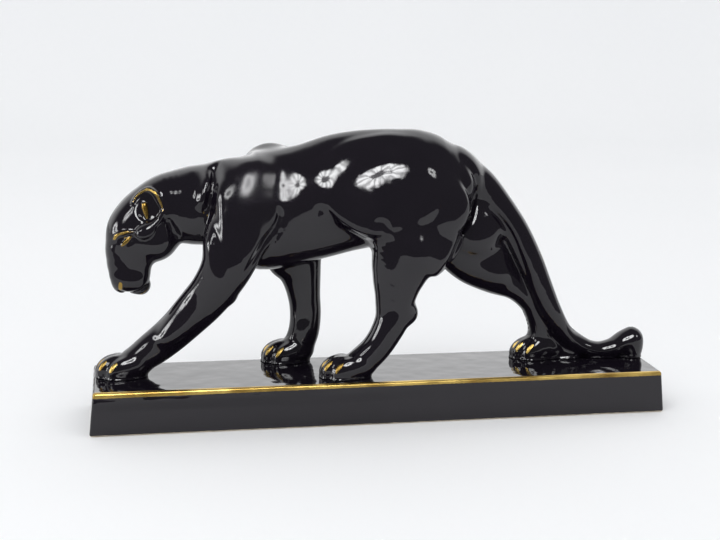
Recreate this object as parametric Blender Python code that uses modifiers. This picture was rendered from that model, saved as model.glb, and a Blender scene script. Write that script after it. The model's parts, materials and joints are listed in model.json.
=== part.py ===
"""A television lamp: a hollow ceramic panther on a long plinth, lit from inside through its far flank.

The frame: +X towards the tail, +Y towards the wall behind the lamp, +Z up. The origin is the middle
of the felt's underside. Lengths in this file are in millimetres, and MM turns them into metres.
"""
import math

import bmesh
import bpy
from mathutils import Matrix, Vector

MM = 0.001
GAP = 0.3                      # air left between pieces that touch

# plinth
PLINTH_LENGTH = 552.0          # at the foot rim
PLINTH_DEPTH = 96.0
PLINTH_TOP = 41.0
PLINTH_FOOT = 0.4              # the rim stays just clear of what the felt rests on
END_DRAFT = 4.0                # how far the short sides lean in from foot to top
SIDE_DRAFT = 2.0               # and the long sides
PLINTH_WALL = 6.5
REBATE_DEPTH = 4.6             # the base panel sits this far up inside the rim
REBATE_LEDGE = 2.5

FELT_INSET = 9.0
PANEL_THICK = 2.6

# lamp axis: the bulb lies along X inside the torso
LAMP_Y = 0.0
LAMP_Z = 214.5
BRACKET_X = 50.0
BRACKET_THICK = 1.5
BRACKET_HEIGHT = 16.0
FLANK_Y = 20.5                 # the bracket's foot lies in this plane, inside the far flank
WASHER_THICK = 3.0
BULB_RADIUS = 12.5
BRACKET_SCREW_HEAD_Y = 35.5    # the screw heads sit here, outside the far flank

# window in the far flank
WINDOW_CENTRE = (-17.0, 212.5)
WINDOW_SIZE = (80.0, 58.0)
WINDOW_CORNER = 27.0

# rotary switch and cord grommet in the plinth's rear wall
SWITCH_X = 95.0
SWITCH_Z = 21.0
GROMMET_X = 215.0
GROMMET_Z = 20.0
GROMMET_HOLE = 6.2
BUSH_HOLE = 5.2
KNOB_GRIP_RADIUS = 6.5         # the knob is fluted where it is wider than this

# leads run down a bore inside the far hind leg
LEAD_RADIUS = 1.1
BORE_RADIUS = 4.6
BORE_ROUTE = [(71, 5, 205.5), (73, 9, 194.5), (79, 12, 180.5), (92, 15, 160.5), (110, 17, 139.5),
              (128, 18, 123.5), (143, 18, 108.5), (154, 18, 90.5), (161, 18, 70.5), (165, 18, 50.5),
              (166, 18, 22)]

# ---- the figure: every limb is a row of oval sections (x, y, z, half-size across, half-depth in Y)
TORSO = [(-176, 13, 201, 34.5, 27), (-162, 12, 201, 37, 32), (-140, 11, 196, 46, 36),
         (-118, 10, 194.5, 54.5, 37), (-93, 9, 198.5, 55.3, 35.5), (-65, 7, 204.5, 55.4, 33.5),
         (-37, 5, 212.5, 56.4, 33), (-8, 3, 217.5, 55.2, 33), (19, 0, 222, 52, 34), (41, 0, 224, 46, 33),
         (58, 0, 224.5, 36.5, 30), (70, 0, 225.5, 25, 24)]
HEAD = [(-158, 12, 202, 36, 28), (-180, 13, 201, 34, 25), (-197, 14, 200.2, 31.8, 23),
        (-211, 14, 192.5, 31, 22), (-222, 14, 183.5, 30.3, 21.5), (-231, 14, 172.5, 28.3, 21),
        (-235.8, 14, 161.5, 23, 19), (-236.8, 14, 150.5, 19.6, 17)]
MUZZLE = [(-236.6, 14, 154.5, 20, 16.5), (-236.6, 14, 144.5, 19.5, 16), (-236, 14, 136.5, 18.6, 15),
          (-236, 14, 133, 17.3, 14)]
NEAR_FORELEG = [(-131, 0, 228.5, 27, 17), (-134, -8, 210.5, 33, 18), (-137.5, -14, 190.5, 33, 19),
                (-143, -19, 169.5, 29, 18.5), (-149.5, -20, 148.5, 24, 17),
                (-159.5, -16, 129.5, 21.5, 15.5), (-171.5, -10, 112.5, 20.3, 14.5),
                (-186, -4, 95.5, 18.5, 13.5), (-202, 0, 79.5, 17.2, 13), (-219, 3, 65.5, 16, 13),
                (-233, 3, 56.5, 13.5, 13)]
FAR_FORELEG = [(-100, 18, 224.5, 26, 18), (-97, 24, 197.5, 30, 19), (-87, 27, 168.5, 31, 17),
               (-78.8, 32, 144.5, 27.5, 15), (-73, 34, 127.5, 20, 13.5), (-69.5, 35, 106.5, 16, 12.5),
               (-68, 35, 88.5, 15.3, 12), (-69.5, 35, 71.5, 15.2, 12.5), (-74, 36, 57.5, 15, 12.5)]
NEAR_HINDLEG = [(33, -10, 192.5, 46, 18), (31, -14, 179.5, 46, 20.5), (25.3, -20, 165.5, 40, 23),
                (15.3, -23, 150.5, 31.3, 20), (10.5, -24, 133.5, 24.5, 16.5), (8, -25, 115.5, 19, 14),
                (6, -25, 97.5, 16.5, 13), (-1, -25, 81.5, 14.6, 12.5), (-9.5, -25, 68.5, 13.8, 13),
                (-20, -24, 57.5, 14, 13)]
FAR_HINDLEG = [(52, 12, 214.5, 40, 20), (70, 14, 192.5, 39, 21), (86, 16, 166.5, 37, 20),
               (103, 17, 145.5, 32, 19), (122, 18, 127.5, 22, 16), (139.5, 18, 113.5, 13, 14),
               (153, 18, 99.5, 9.9, 12.5), (160, 18, 86.5, 9.2, 12), (165.5, 18, 72.5, 10.4, 12),
               (166, 18, 59.5, 12, 12.5)]
TAIL = [(32, 1, 250, 12, 18), (50, 1, 246.3, 13, 19), (66, 1, 242.5, 13.5, 17), (82, 2, 233, 13, 14),
        (98, 4, 221, 12.8, 12.5), (115.5, 6, 199.5, 12.8, 11.5), (133, 8, 174, 13, 11),
        (148.5, 9, 145, 12.8, 10.5), (160.5, 11, 118.5, 12.4, 10), (173, 12, 92.5, 11.4, 10),
        (189, 13, 68, 9.8, 9.5), (207, 13, 54.5, 8.7, 9), (226, 12, 48.5, 8.5, 9),
        (242, 11, 50.5, 9.5, 10), (254, 10, 56, 12, 11), (262.5, 10, 59, 13, 11.5)]
WEB = [(146, 14, 124.5, 9, 5), (161, 15, 96.5, 10, 6), (172, 15, 76.5, 15, 6.5), (186, 15, 59.5, 17, 6.5),
       (201, 14, 45.5, 19, 7)]
# rounded muscles and joints: x, y, z, half-sizes in X, Y, Z, lean about Y
BULGES = [(-102, 28, 233.5, 23, 13, 22, 10), (-58, 4, 210, 64, 33, 31, -14),
          (94, 11, 178.5, 25, 20, 27, -30), (111, 15, 133, 21, 17, 16, -40), (30, -4, 208, 54, 37, 46, 10),
          (19, -25, 102, 11.5, 9, 12, 0), (-148, -14, 121.5, 8.5, 9, 9, 0),
          (262.5, 10, 49.5, 11.5, 10.5, 13, 0), (-211, 9, 171.5, 20, 20, 23, -35),
          (-226.5, 12, 127, 9, 11, 9.5, 0)]
# each paw: middle x, y, z and half-sizes
PAWS = [(-247, 3.5, 49, 26, 15, 14.5), (-88.5, 36, 49, 25, 14.5, 14.5), (-40, -24, 49, 26, 14.5, 15),
        (160, 18, 49, 25, 14, 14)]
EARS = [(-220, -7, 203, 13, 5, 17, 12), (-214, 33, 205, 11, 6, 15, 12)]
CAVITY = [(-140, 11, 198.5, 32, 23), (-118, 10, 196.5, 47, 30), (-93, 8, 199.5, 48.5, 29),
          (-65, 6, 205.5, 48.5, 27.5), (-37, 4, 212.5, 49.5, 27), (-8, 2, 216.5, 47.5, 27.5),
          (19, 0, 220.5, 43, 28), (41, -1, 222, 37, 28), (57, -1, 222, 28, 24), (70, 0, 219.5, 17, 16)]
FIGURE_VOXEL = 4.2
FIGURE_TRIANGLES = 4800
SECTION_SIDES = 22


# ---- scene helpers

def clear_scene():
    for item in list(bpy.data.objects):
        bpy.data.objects.remove(item, do_unlink=True)


def new_collection(name):
    group = bpy.data.collections.new(name)
    bpy.context.scene.collection.children.link(group)
    return group


def make_material(name, colour, roughness, metallic=0.0, alpha=1.0):
    material = bpy.data.materials.new(name)
    material.use_nodes = True
    shader = material.node_tree.nodes["Principled BSDF"]
    shader.inputs["Base Color"].default_value = (*colour, 1.0)
    shader.inputs["Roughness"].default_value = roughness
    shader.inputs["Metallic"].default_value = metallic
    shader.inputs["Alpha"].default_value = alpha
    return material


def object_from_bmesh(name, bm, group, material=None, smooth_angle=35.0):
    """Scale a bmesh from millimetres to metres and link it as an object."""
    bmesh.ops.recalc_face_normals(bm, faces=bm.faces)
    bmesh.ops.scale(bm, vec=(MM, MM, MM), verts=bm.verts)
    mesh = bpy.data.meshes.new(name)
    bm.to_mesh(mesh)
    bm.free()
    mesh.shade_smooth()
    mesh.set_sharp_from_angle(angle=math.radians(smooth_angle))
    item = bpy.data.objects.new(name, mesh)
    group.objects.link(item)
    if material:
        mesh.materials.append(material)
    return item


def apply_modifiers(item):
    """Replace an object's mesh by its evaluated one, and drop its modifiers."""
    evaluated = item.evaluated_get(bpy.context.evaluated_depsgraph_get())
    mesh = bpy.data.meshes.new_from_object(evaluated)
    item.modifiers.clear()
    item.data = mesh
    return item


def cut(item, cutter):
    modifier = item.modifiers.new(cutter.name, "BOOLEAN")
    modifier.operation = "DIFFERENCE"
    modifier.object = cutter
    return item


def as_cutter(item):
    item.hide_render = True
    item.display_type = "WIRE"
    return item


def bevel(item, width, segments=2, angle=35.0):
    modifier = item.modifiers.new("edges", "BEVEL")
    modifier.width = width * MM
    modifier.segments = segments
    modifier.limit_method = "ANGLE"
    modifier.angle_limit = math.radians(angle)
    return item


# ---- shape helpers, all in millimetres

def box(name, group, low, high, material=None, bevel_width=0.0):
    bm = bmesh.new()
    bmesh.ops.create_cube(bm, size=1.0)
    size = [high[i] - low[i] for i in range(3)]
    middle = [(high[i] + low[i]) / 2 for i in range(3)]
    bmesh.ops.scale(bm, vec=size, verts=bm.verts)
    bmesh.ops.translate(bm, vec=middle, verts=bm.verts)
    item = object_from_bmesh(name, bm, group, material)
    if bevel_width:
        bevel(item, bevel_width)
    return item


def plinth_lean(z):
    """The share of its full lean that each side of the plinth has reached at a height."""
    return (z - PLINTH_FOOT) / (PLINTH_TOP - PLINTH_FOOT)


def drafted_box(name, group, inset, low, high, material=None):
    """A box whose sides run parallel to the plinth's, inset from them."""
    bm = bmesh.new()
    bmesh.ops.create_cube(bm, size=2.0)
    for vert in bm.verts:
        vert.co.z = high if vert.co.z > 0 else low
        share = plinth_lean(vert.co.z)
        vert.co.x = math.copysign(PLINTH_LENGTH / 2 - inset - END_DRAFT * share, vert.co.x)
        vert.co.y = math.copysign(PLINTH_DEPTH / 2 - inset - SIDE_DRAFT * share, vert.co.y)
    return object_from_bmesh(name, bm, group, material)


def rod(name, group, start, end, radius, material=None, sides=24, bevel_width=0.0):
    """A cylinder from one point to another."""
    start, end = Vector(start), Vector(end)
    along = end - start
    bm = bmesh.new()
    bmesh.ops.create_cone(bm, cap_ends=True, segments=sides, radius1=radius, radius2=radius,
                          depth=along.length)
    turn = along.to_track_quat("Z", "Y").to_matrix().to_4x4()
    bmesh.ops.transform(bm, matrix=Matrix.Translation((start + end) / 2) @ turn, verts=bm.verts)
    item = object_from_bmesh(name, bm, group, material)
    if bevel_width:
        bevel(item, bevel_width)
    return item


def bridge(bm, rings):
    """Faces between neighbouring rings of vertices; a ring may be a single point."""
    for one, two in zip(rings, rings[1:]):
        sides = max(len(one), len(two))
        if sides == 1:
            continue
        for k in range(sides):
            n = (k + 1) % sides
            if len(one) == 1:
                bm.faces.new((one[0], two[k], two[n]))
            elif len(two) == 1:
                bm.faces.new((one[k], two[0], one[n]))
            else:
                bm.faces.new((one[k], two[k], two[n], one[n]))


def turned(name, group, profile, base, direction, material, sides=24, flute=0.0):
    """A body turned from (distance along, radius) points about an axis from base.

    A profile that starts off the axis closes on itself as a ring. A flute depth sinks every fourth
    side of the wide part, as on a knurled knob.
    """
    bm = bmesh.new()
    rings = []
    for distance, radius in profile:
        if radius == 0:
            rings.append([bm.verts.new((0, 0, distance))])
            continue
        ring = []
        for k in range(sides):
            reach = radius - flute if k % 4 == 0 and radius > KNOB_GRIP_RADIUS else radius
            angle = 2 * math.pi * k / sides
            ring.append(bm.verts.new((reach * math.cos(angle), reach * math.sin(angle), distance)))
        rings.append(ring)
    if profile[0][1] != 0:
        rings.append(rings[0])
    bridge(bm, rings)
    turn = Vector(direction).to_track_quat("Z", "Y").to_matrix().to_4x4()
    bmesh.ops.transform(bm, matrix=Matrix.Translation(base) @ turn, verts=bm.verts)
    return object_from_bmesh(name, bm, group, material)


def smooth_points(points, steps):
    """Catmull-Rom points through a list of equal-length number rows."""
    padded = [points[0]] + list(points) + [points[-1]]
    result = []
    for p0, p1, p2, p3 in zip(padded, padded[1:], padded[2:], padded[3:]):
        for s in range(steps):
            t = s / steps
            result.append(tuple(
                b + 0.5 * t * (c - a + t * (2 * a - 5 * b + 4 * c - d + t * (3 * b - a - 3 * c + d)))
                for a, b, c, d in zip(p0, p1, p2, p3)))
    result.append(tuple(float(v) for v in points[-1]))
    return result


def loft(bm, stations, steps=3, caps=4):
    """Add one closed limb to bm: oval sections square to the path, with rounded ends."""
    rows = smooth_points(stations, steps)
    path = [Vector((r[0], 0, r[2])) for r in rows]
    frames = []
    for k, row in enumerate(rows):
        along = (path[min(k + 1, len(path) - 1)] - path[max(k - 1, 0)]).normalized()
        across = Vector((-along.z, 0, along.x))
        frames.append((Vector(row[:3]), along, across, row[3], row[4]))
    sections = []
    centre, along, across, a, b = frames[0]
    reach = min(a, b)
    for c in range(caps):
        angle = math.pi / 2 * c / caps
        middle = centre - along * reach * math.cos(angle)
        sections.append((middle, across, a * math.sin(angle), b * math.sin(angle)))
    sections += [(f[0], f[2], f[3], f[4]) for f in frames]
    centre, along, across, a, b = frames[-1]
    reach = min(a, b)
    for c in range(1, caps + 1):
        angle = math.pi / 2 * c / caps
        middle = centre + along * reach * math.sin(angle)
        sections.append((middle, across, a * math.cos(angle), b * math.cos(angle)))
    rings = []
    for centre, across, a, b in sections:
        if a < 0.01 * frames[0][3] or b < 0.01:
            rings.append([bm.verts.new(centre)])
            continue
        ring = []
        for k in range(SECTION_SIDES):
            angle = 2 * math.pi * k / SECTION_SIDES
            offset = across * a * math.cos(angle) + Vector((0, b * math.sin(angle), 0))
            ring.append(bm.verts.new(centre + offset))
        rings.append(ring)
    bridge(bm, rings)


def ellipsoid(bm, x, y, z, rx, ry, rz, lean=0.0):
    """Add an ellipsoid to bm; lean raises its +X end by that many degrees."""
    turn = Matrix.Rotation(math.radians(-lean), 4, "Y")
    place = Matrix.Translation((x, y, z)) @ turn @ Matrix.Diagonal((rx, ry, rz, 1))
    bmesh.ops.create_uvsphere(bm, u_segments=20, v_segments=12, radius=1.0, matrix=place)


def wire(name, group, points, radius, material=None, resolution=2):
    """A round wire through the given points, as a capped mesh tube."""
    curve = bpy.data.curves.new(name, "CURVE")
    curve.dimensions = "3D"
    curve.bevel_depth = radius * MM
    curve.bevel_resolution = resolution
    curve.use_fill_caps = True
    spline = curve.splines.new("POLY")
    spline.points.add(len(points) - 1)
    for slot, point in zip(spline.points, points):
        slot.co = (*[v * MM for v in point], 1.0)
    guide = bpy.data.objects.new(name + "_guide", curve)
    group.objects.link(guide)
    evaluated = guide.evaluated_get(bpy.context.evaluated_depsgraph_get())
    bm = bmesh.new()
    bm.from_mesh(bpy.data.meshes.new_from_object(evaluated))
    bpy.data.objects.remove(guide, do_unlink=True)
    bmesh.ops.remove_doubles(bm, verts=bm.verts, dist=0.00001)
    bmesh.ops.scale(bm, vec=(1 / MM, 1 / MM, 1 / MM), verts=bm.verts)
    return object_from_bmesh(name, bm, group, material)


def hex_ring(name, group, start, direction, across_flats, bore, thickness, material):
    """A hexagon nut: a six-sided prism with a round hole."""
    corner = across_flats / 2 / math.cos(math.pi / 6)
    end = Vector(start) + Vector(direction) * thickness
    nut = rod(name, group, start, end, corner, material, sides=6, bevel_width=0.3)
    apply_modifiers(nut)
    past = Vector(direction) * 2
    hole = as_cutter(rod(name + "_hole", CUTTERS, Vector(start) - past, end + past, bore, sides=20))
    return cut(nut, hole)


# ---- the figure

def panther_solid(group, material):
    """The outside of the figure: limbs merged, softened and trimmed flat at the soles."""
    bm = bmesh.new()
    for limb in (TORSO, HEAD, MUZZLE, NEAR_FORELEG, FAR_FORELEG, NEAR_HINDLEG, FAR_HINDLEG, TAIL, WEB):
        loft(bm, limb)
    for row in BULGES + PAWS + EARS:
        ellipsoid(bm, *row)
    figure = object_from_bmesh("panther_figure", bm, group, material, smooth_angle=60)
    remesh = figure.modifiers.new("merge", "REMESH")
    remesh.mode = "VOXEL"
    remesh.voxel_size = FIGURE_VOXEL * MM
    soften = figure.modifiers.new("soften", "SMOOTH")
    soften.factor = 0.5
    soften.iterations = 3
    apply_modifiers(figure)
    figure.data.calc_loop_triangles()
    thin = figure.modifiers.new("thin", "DECIMATE")
    thin.ratio = FIGURE_TRIANGLES / len(figure.data.loop_triangles)
    apply_modifiers(figure)
    low, high = (-400, -200, -60), (400, 200, PLINTH_TOP + GAP)
    cut(figure, as_cutter(box("below_soles", CUTTERS, low, high)))
    return apply_modifiers(figure)


def hollow_figure(figure):
    """Cut the cavity, the flank window, the lead bore and the bracket's screw holes."""
    bm = bmesh.new()
    loft(bm, CAVITY, steps=2)
    cavity = as_cutter(object_from_bmesh("cavity", bm, CUTTERS))
    cut(figure, cavity)
    cut(figure, as_cutter(window_cutter()))
    bore = smooth_points(BORE_ROUTE, 2)
    cut(figure, as_cutter(wire("lead_bore", CUTTERS, bore, BORE_RADIUS, resolution=3)))
    for z in bracket_screw_heights():
        start = (bracket_screw_x(), FLANK_Y - 4, z)
        end = (bracket_screw_x(), FLANK_Y + 40, z)
        cut(figure, as_cutter(rod("bracket_hole", CUTTERS, start, end, 1.9, sides=16)))
    return apply_modifiers(figure)


def window_cutter():
    """A rounded slot along X, driven through the far flank only."""
    width, height = WINDOW_SIZE
    bm = bmesh.new()
    outline = []
    for side_x, side_z, first in ((1, 1, 0), (-1, 1, 1), (-1, -1, 2), (1, -1, 3)):
        for step in range(7):
            angle = math.pi / 2 * (first + step / 6)
            x = WINDOW_CENTRE[0] + side_x * (width / 2 - WINDOW_CORNER) + WINDOW_CORNER * math.cos(angle)
            z = WINDOW_CENTRE[1] + side_z * (height / 2 - WINDOW_CORNER) + WINDOW_CORNER * math.sin(angle)
            outline.append((x, z))
    near = [bm.verts.new((x, 16.0, z)) for x, z in outline]
    bm.faces.new(near)
    grown = bmesh.ops.extrude_face_region(bm, geom=list(bm.faces))
    moved = [g for g in grown["geom"] if isinstance(g, bmesh.types.BMVert)]
    bmesh.ops.translate(bm, vec=(0, 60.0, 0), verts=moved)
    return object_from_bmesh("window", bm, CUTTERS)


def bracket_screw_x():
    return BRACKET_X - 14.0


def bracket_screw_heights():
    return (LAMP_Z - 5.0, LAMP_Z + 5.0)


# ---- plinth, panel, felt

def make_plinth(group, material):
    plinth = drafted_box("plinth", group, 0.0, PLINTH_FOOT, PLINTH_TOP, material)
    bevel(plinth, 2.2, segments=3, angle=40)
    apply_modifiers(plinth)
    hollow = drafted_box("plinth_hollow", CUTTERS, PLINTH_WALL, -5.0, PLINTH_TOP - PLINTH_WALL)
    cut(plinth, as_cutter(hollow))
    length, depth = (size / 2 - PLINTH_WALL + REBATE_LEDGE for size in (PLINTH_LENGTH, PLINTH_DEPTH))
    cut(plinth, as_cutter(box("rebate", CUTTERS, (-length, -depth, -5), (length, depth, REBATE_DEPTH))))
    x, y, _ = BORE_ROUTE[-1]
    cut(plinth, as_cutter(rod("lead_hole", CUTTERS, (x, y, 20), (x, y, 60), BORE_RADIUS, sides=20)))
    for name, place, height, radius in (("grommet_hole", GROMMET_X, GROMMET_Z, GROMMET_HOLE),
                                        ("switch_hole", SWITCH_X, SWITCH_Z, BUSH_HOLE)):
        start, end = rear_wall_point(place, height, -20), rear_wall_point(place, height, 20)
        cut(plinth, as_cutter(rod(name, CUTTERS, start, end, radius, sides=28)))
    return apply_modifiers(plinth)


def rear_wall_normal():
    """The rear wall leans in towards the top, so it faces slightly up."""
    return Vector((0, PLINTH_TOP - PLINTH_FOOT, SIDE_DRAFT)).normalized()


def rear_wall_point(x, z, outward=0.0):
    """A point at or off the rear wall's outer face, along the wall's normal."""
    return Vector((x, PLINTH_DEPTH / 2 - SIDE_DRAFT * plinth_lean(z), z)) + rear_wall_normal() * outward


def make_base(group, materials):
    length = PLINTH_LENGTH / 2 - PLINTH_WALL + REBATE_LEDGE - GAP
    depth = PLINTH_DEPTH / 2 - PLINTH_WALL + REBATE_LEDGE - GAP
    top = REBATE_DEPTH - GAP
    low, high = (-length, -depth, top - PANEL_THICK), (length, depth, top)
    box("base_panel", group, low, high, materials["fibreboard"])
    inset_x, inset_y = PLINTH_LENGTH / 2 - FELT_INSET, PLINTH_DEPTH / 2 - FELT_INSET
    felt_top = top - PANEL_THICK - GAP
    box("base_felt", group, (-inset_x, -inset_y, 0), (inset_x, inset_y, felt_top), materials["felt"])


# ---- lampholder and bulb, along -X from the bracket

def make_bracket(group, materials):
    """A steel strip bent to an L: its foot on the flank, its upright across the lamp axis."""
    low, high = LAMP_Z - BRACKET_HEIGHT / 2, LAMP_Z + BRACKET_HEIGHT / 2
    foot_start = bracket_screw_x() - 7.0
    bm = bmesh.new()
    back, tip = BRACKET_X + BRACKET_THICK, LAMP_Y - 9.0
    outline = [(foot_start, FLANK_Y), (back, FLANK_Y), (back, tip), (BRACKET_X, tip),
               (BRACKET_X, FLANK_Y - BRACKET_THICK), (foot_start, FLANK_Y - BRACKET_THICK)]
    bm.faces.new([bm.verts.new((x, y, low)) for x, y in outline])
    grown = bmesh.ops.extrude_face_region(bm, geom=list(bm.faces))
    moved = [g for g in grown["geom"] if isinstance(g, bmesh.types.BMVert)]
    bmesh.ops.translate(bm, vec=(0, 0, high - low), verts=moved)
    bracket = object_from_bmesh("holder_bracket", bm, group, materials["zinc_steel"])
    bevel(bracket, 0.4, segments=2)
    apply_modifiers(bracket)
    start, end = (BRACKET_X - 5, LAMP_Y, LAMP_Z), (BRACKET_X + 5, LAMP_Y, LAMP_Z)
    cut(bracket, as_cutter(rod("nipple_hole", CUTTERS, start, end, 5.0 + GAP, sides=24)))
    for z in bracket_screw_heights():
        start, end = (bracket_screw_x(), FLANK_Y - 6, z), (bracket_screw_x(), FLANK_Y + 4, z)
        cut(bracket, as_cutter(rod("foot_hole", CUTTERS, start, end, 1.8, sides=16)))
    return apply_modifiers(bracket)


def make_bracket_screws(group, materials):
    """Pan-head screws from outside the flank, each with a rubber washer and a nut inside."""
    x = bracket_screw_x()
    inner_end = FLANK_Y - BRACKET_THICK - 4.2 - BRACKET_SCREW_HEAD_Y
    screw = [(inner_end, 0), (inner_end, 1.4), (0, 1.4), (0, 2.6), (1.2, 2.9), (2.0, 2.2), (2.3, 0)]
    washer = [(0, 1.7), (0, 3.8), (WASHER_THICK, 3.6), (WASHER_THICK, 1.7)]
    for k, z in enumerate(bracket_screw_heights(), start=1):
        head = (x, BRACKET_SCREW_HEAD_Y, z)
        turned(f"bracket_screw_{k}", group, screw, head, (0, 1, 0), materials["brass"], sides=14)
        seat = (x, FLANK_Y + GAP, z)
        turned(f"bracket_washer_{k}", group, washer, seat, (0, 1, 0), materials["rubber"], sides=16)
        nut_start = (x, FLANK_Y - BRACKET_THICK - GAP, z)
        hex_ring(f"bracket_nut_{k}", group, nut_start, (0, -1, 0), 5.5, 1.7, 2.4, materials["brass"])


def make_holder(group, materials):
    """Nipple, locknut, cap, skirt, thread sleeve and centre contact."""
    toward = (-1, 0, 0)
    face = BRACKET_X - GAP
    nipple = [(0, 4.85), (19, 4.85), (19, 3.4), (0, 3.4)]
    turned("holder_nipple", group, nipple, (BRACKET_X + 9, LAMP_Y, LAMP_Z), toward, materials["brass"])
    back = (BRACKET_X + BRACKET_THICK + GAP, LAMP_Y, LAMP_Z)
    hex_ring("holder_locknut", group, back, (1, 0, 0), 14.0, 5.2, 3.0, materials["brass"])
    cap = [(0, 5.2), (0, 10.5), (1.5, 12.5), (4.0, 13.4), (12.4, 13.4), (12.4, 11.6), (3.4, 11.6), (3.4, 5.2)]
    turned("holder_cap", group, cap, (face, LAMP_Y, LAMP_Z), toward, materials["bakelite"])
    core = [(3.8, 5.3), (3.8, 11.2), (12.6, 11.2), (12.6, 3.6), (11.4, 3.6), (11.4, 5.3)]
    turned("holder_core", group, core, (face, LAMP_Y, LAMP_Z), toward, materials["porcelain"])
    skirt = [(12.9, 10.9), (12.9, 13.4), (27.0, 13.0), (35.0, 12.2), (35.0, 10.4), (27.0, 11.0)]
    turned("holder_skirt", group, skirt, (face, LAMP_Y, LAMP_Z), toward, materials["bakelite"])
    sleeve = [(13.2, 7.2), (13.2, 7.7), (31.0, 7.7), (31.6, 8.3), (31.6, 7.8), (31.2, 7.2)]
    turned("holder_sleeve", group, sleeve, (face, LAMP_Y, LAMP_Z), toward, materials["brass"])
    contact = [(12.9, 0), (12.9, 3.0), (13.5, 3.0), (14.6, 1.8), (14.6, 0)]
    turned("holder_contact", group, contact, (face, LAMP_Y, LAMP_Z), toward, materials["brass"], sides=16)


def make_bulb(group, materials):
    """A tubular bulb: open-necked glass, cap shell, insulator, tip, stem, filament and supports."""
    toward = (-1, 0, 0)
    base = (BRACKET_X - GAP - 15.0, LAMP_Y, LAMP_Z)
    tip = [(0, 0), (0, 1.6), (0.8, 2.4), (1.4, 2.4), (1.4, 0)]
    turned("bulb_tip", group, tip, base, toward, materials["solder"], sides=16)
    insulator = [(1.7, 0), (1.7, 3.4), (3.2, 5.6), (3.9, 5.6), (3.9, 0)]
    turned("bulb_insulator", group, insulator, base, toward, materials["black_glass"], sides=20)
    thread = [(4.2 + 1.41 * k, 6.2 if k % 2 == 0 else 6.75) for k in range(11)]
    shell = [(4.2, 5.4)] + thread + [(20.2, 6.75), (22.0, 6.75), (22.0, 6.3), (19.0, 5.8)]
    turned("bulb_cap", group, shell, base, toward, materials["nickel"], sides=20)
    rise = [(22.4, 5.5), (24.5, 6.2), (27.0, 9.0), (29.5, 11.6), (32.5, BULB_RADIUS)]
    end = 74.0
    dome = [(end - BULB_RADIUS + BULB_RADIUS * math.sin(math.pi / 2 * k / 5),
             BULB_RADIUS * math.cos(math.pi / 2 * k / 5)) for k in range(6)]
    dome[-1] = (end, 0.0)
    wall = 0.8
    outer = [(20.5, 5.2)] + rise + dome
    inner = [(d - wall if r == 0 else d, max(r - wall, 0.0)) for d, r in outer]
    turned("bulb_glass", group, outer[::-1] + inner, base, toward, materials["glass"], sides=20)
    stem = [(19.6, 0), (19.6, 3.6), (24.0, 2.2), (34.0, 1.8), (36.0, 2.4), (36.8, 0)]
    turned("bulb_stem", group, stem, base, toward, materials["glass"], sides=16)
    make_filament(group, materials, base)


def make_filament(group, materials, base):
    """Two support wires beside the stem, and a zigzag filament between their ends."""
    x = base[0]
    for name, side in (("bulb_support_1", 1), ("bulb_support_2", -1)):
        points = [(x - 25.0, LAMP_Y, LAMP_Z + side * 3.4), (x - 34.0, LAMP_Y, LAMP_Z + side * 4.3),
                  (x - 44.0, LAMP_Y, LAMP_Z + side * 7.0)]
        wire(name, group, points, 0.35, materials["nickel"])
    turns = 8
    points = []
    for k in range(turns + 1):
        height = LAMP_Z + 6.0 - 12.0 * k / turns
        points.append((x - (45.6 if k in (0, turns) else 45.6 + 8.0 * (k % 2)), LAMP_Y, height))
    wire("bulb_filament", group, points, 0.3, materials["tungsten"])


# ---- switch, grommet, terminal block and leads

def make_switch(group, materials):
    """A rotary switch clamped in the rear wall, with its shaft and knob turning about the wall's normal."""
    normal = rear_wall_normal()
    front = -PLINTH_WALL - 0.9
    bush_start = front - 3.0
    body = box("switch_body", group, (-11, front - 20, -9.5), (11, front, 9.5), materials["bakelite"], 1.0)
    tilt = Matrix.Rotation(math.atan2(SIDE_DRAFT, PLINTH_TOP - PLINTH_FOOT), 4, "X")
    body.data.transform(Matrix.Translation(rear_wall_point(SWITCH_X, SWITCH_Z) * MM) @ tilt)
    apply_modifiers(body)
    start, end = (rear_wall_point(SWITCH_X, SWITCH_Z, d) for d in (bush_start, front + 5))
    cut(body, as_cutter(rod("bush_seat", CUTTERS, start, end, 4.9 + GAP, sides=24)))
    apply_modifiers(body)
    seat = rear_wall_point(SWITCH_X, SWITCH_Z, bush_start + GAP)
    length = 4.0 - bush_start
    turned("switch_bush", group, [(0, 2.6), (0, 4.9), (length, 4.9), (length, 2.6)], seat, normal,
           materials["nickel"], sides=24)
    hex_ring("switch_ring_nut", group, rear_wall_point(SWITCH_X, SWITCH_Z, GAP), normal, 13.0, 5.2, 2.2,
             materials["nickel"])
    end = rear_wall_point(SWITCH_X, SWITCH_Z, 10.2)
    rod("switch_shaft", group, seat, end, 2.3, materials["nickel"], sides=18)
    knob = [(0, 2.3 + GAP), (0, 7.6), (1.4, 8.4), (7.6, 7.9), (9.2, 6.4), (9.8, 0), (6.2, 0),
            (6.2, 2.3 + GAP)]
    turned("switch_knob", group, knob, rear_wall_point(SWITCH_X, SWITCH_Z, 4.3), normal,
           materials["bakelite"], sides=48, flute=0.7)


def make_grommet(group, materials):
    """A rubber ring that grips the rear wall, with a way through for the cord."""
    length = PLINTH_WALL
    ring = [(-2.6, 3.9), (-2.6, 7.8), (-0.4, 8.2), (-0.4, 5.9), (length + 0.4, 5.9), (length + 0.4, 8.2),
            (length + 2.0, 8.0), (length + 3.2, 6.6), (length + 3.4, 3.9)]
    inside = rear_wall_point(GROMMET_X, GROMMET_Z, -PLINTH_WALL)
    turned("cord_grommet", group, ring, inside, rear_wall_normal(), materials["rubber"])


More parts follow.
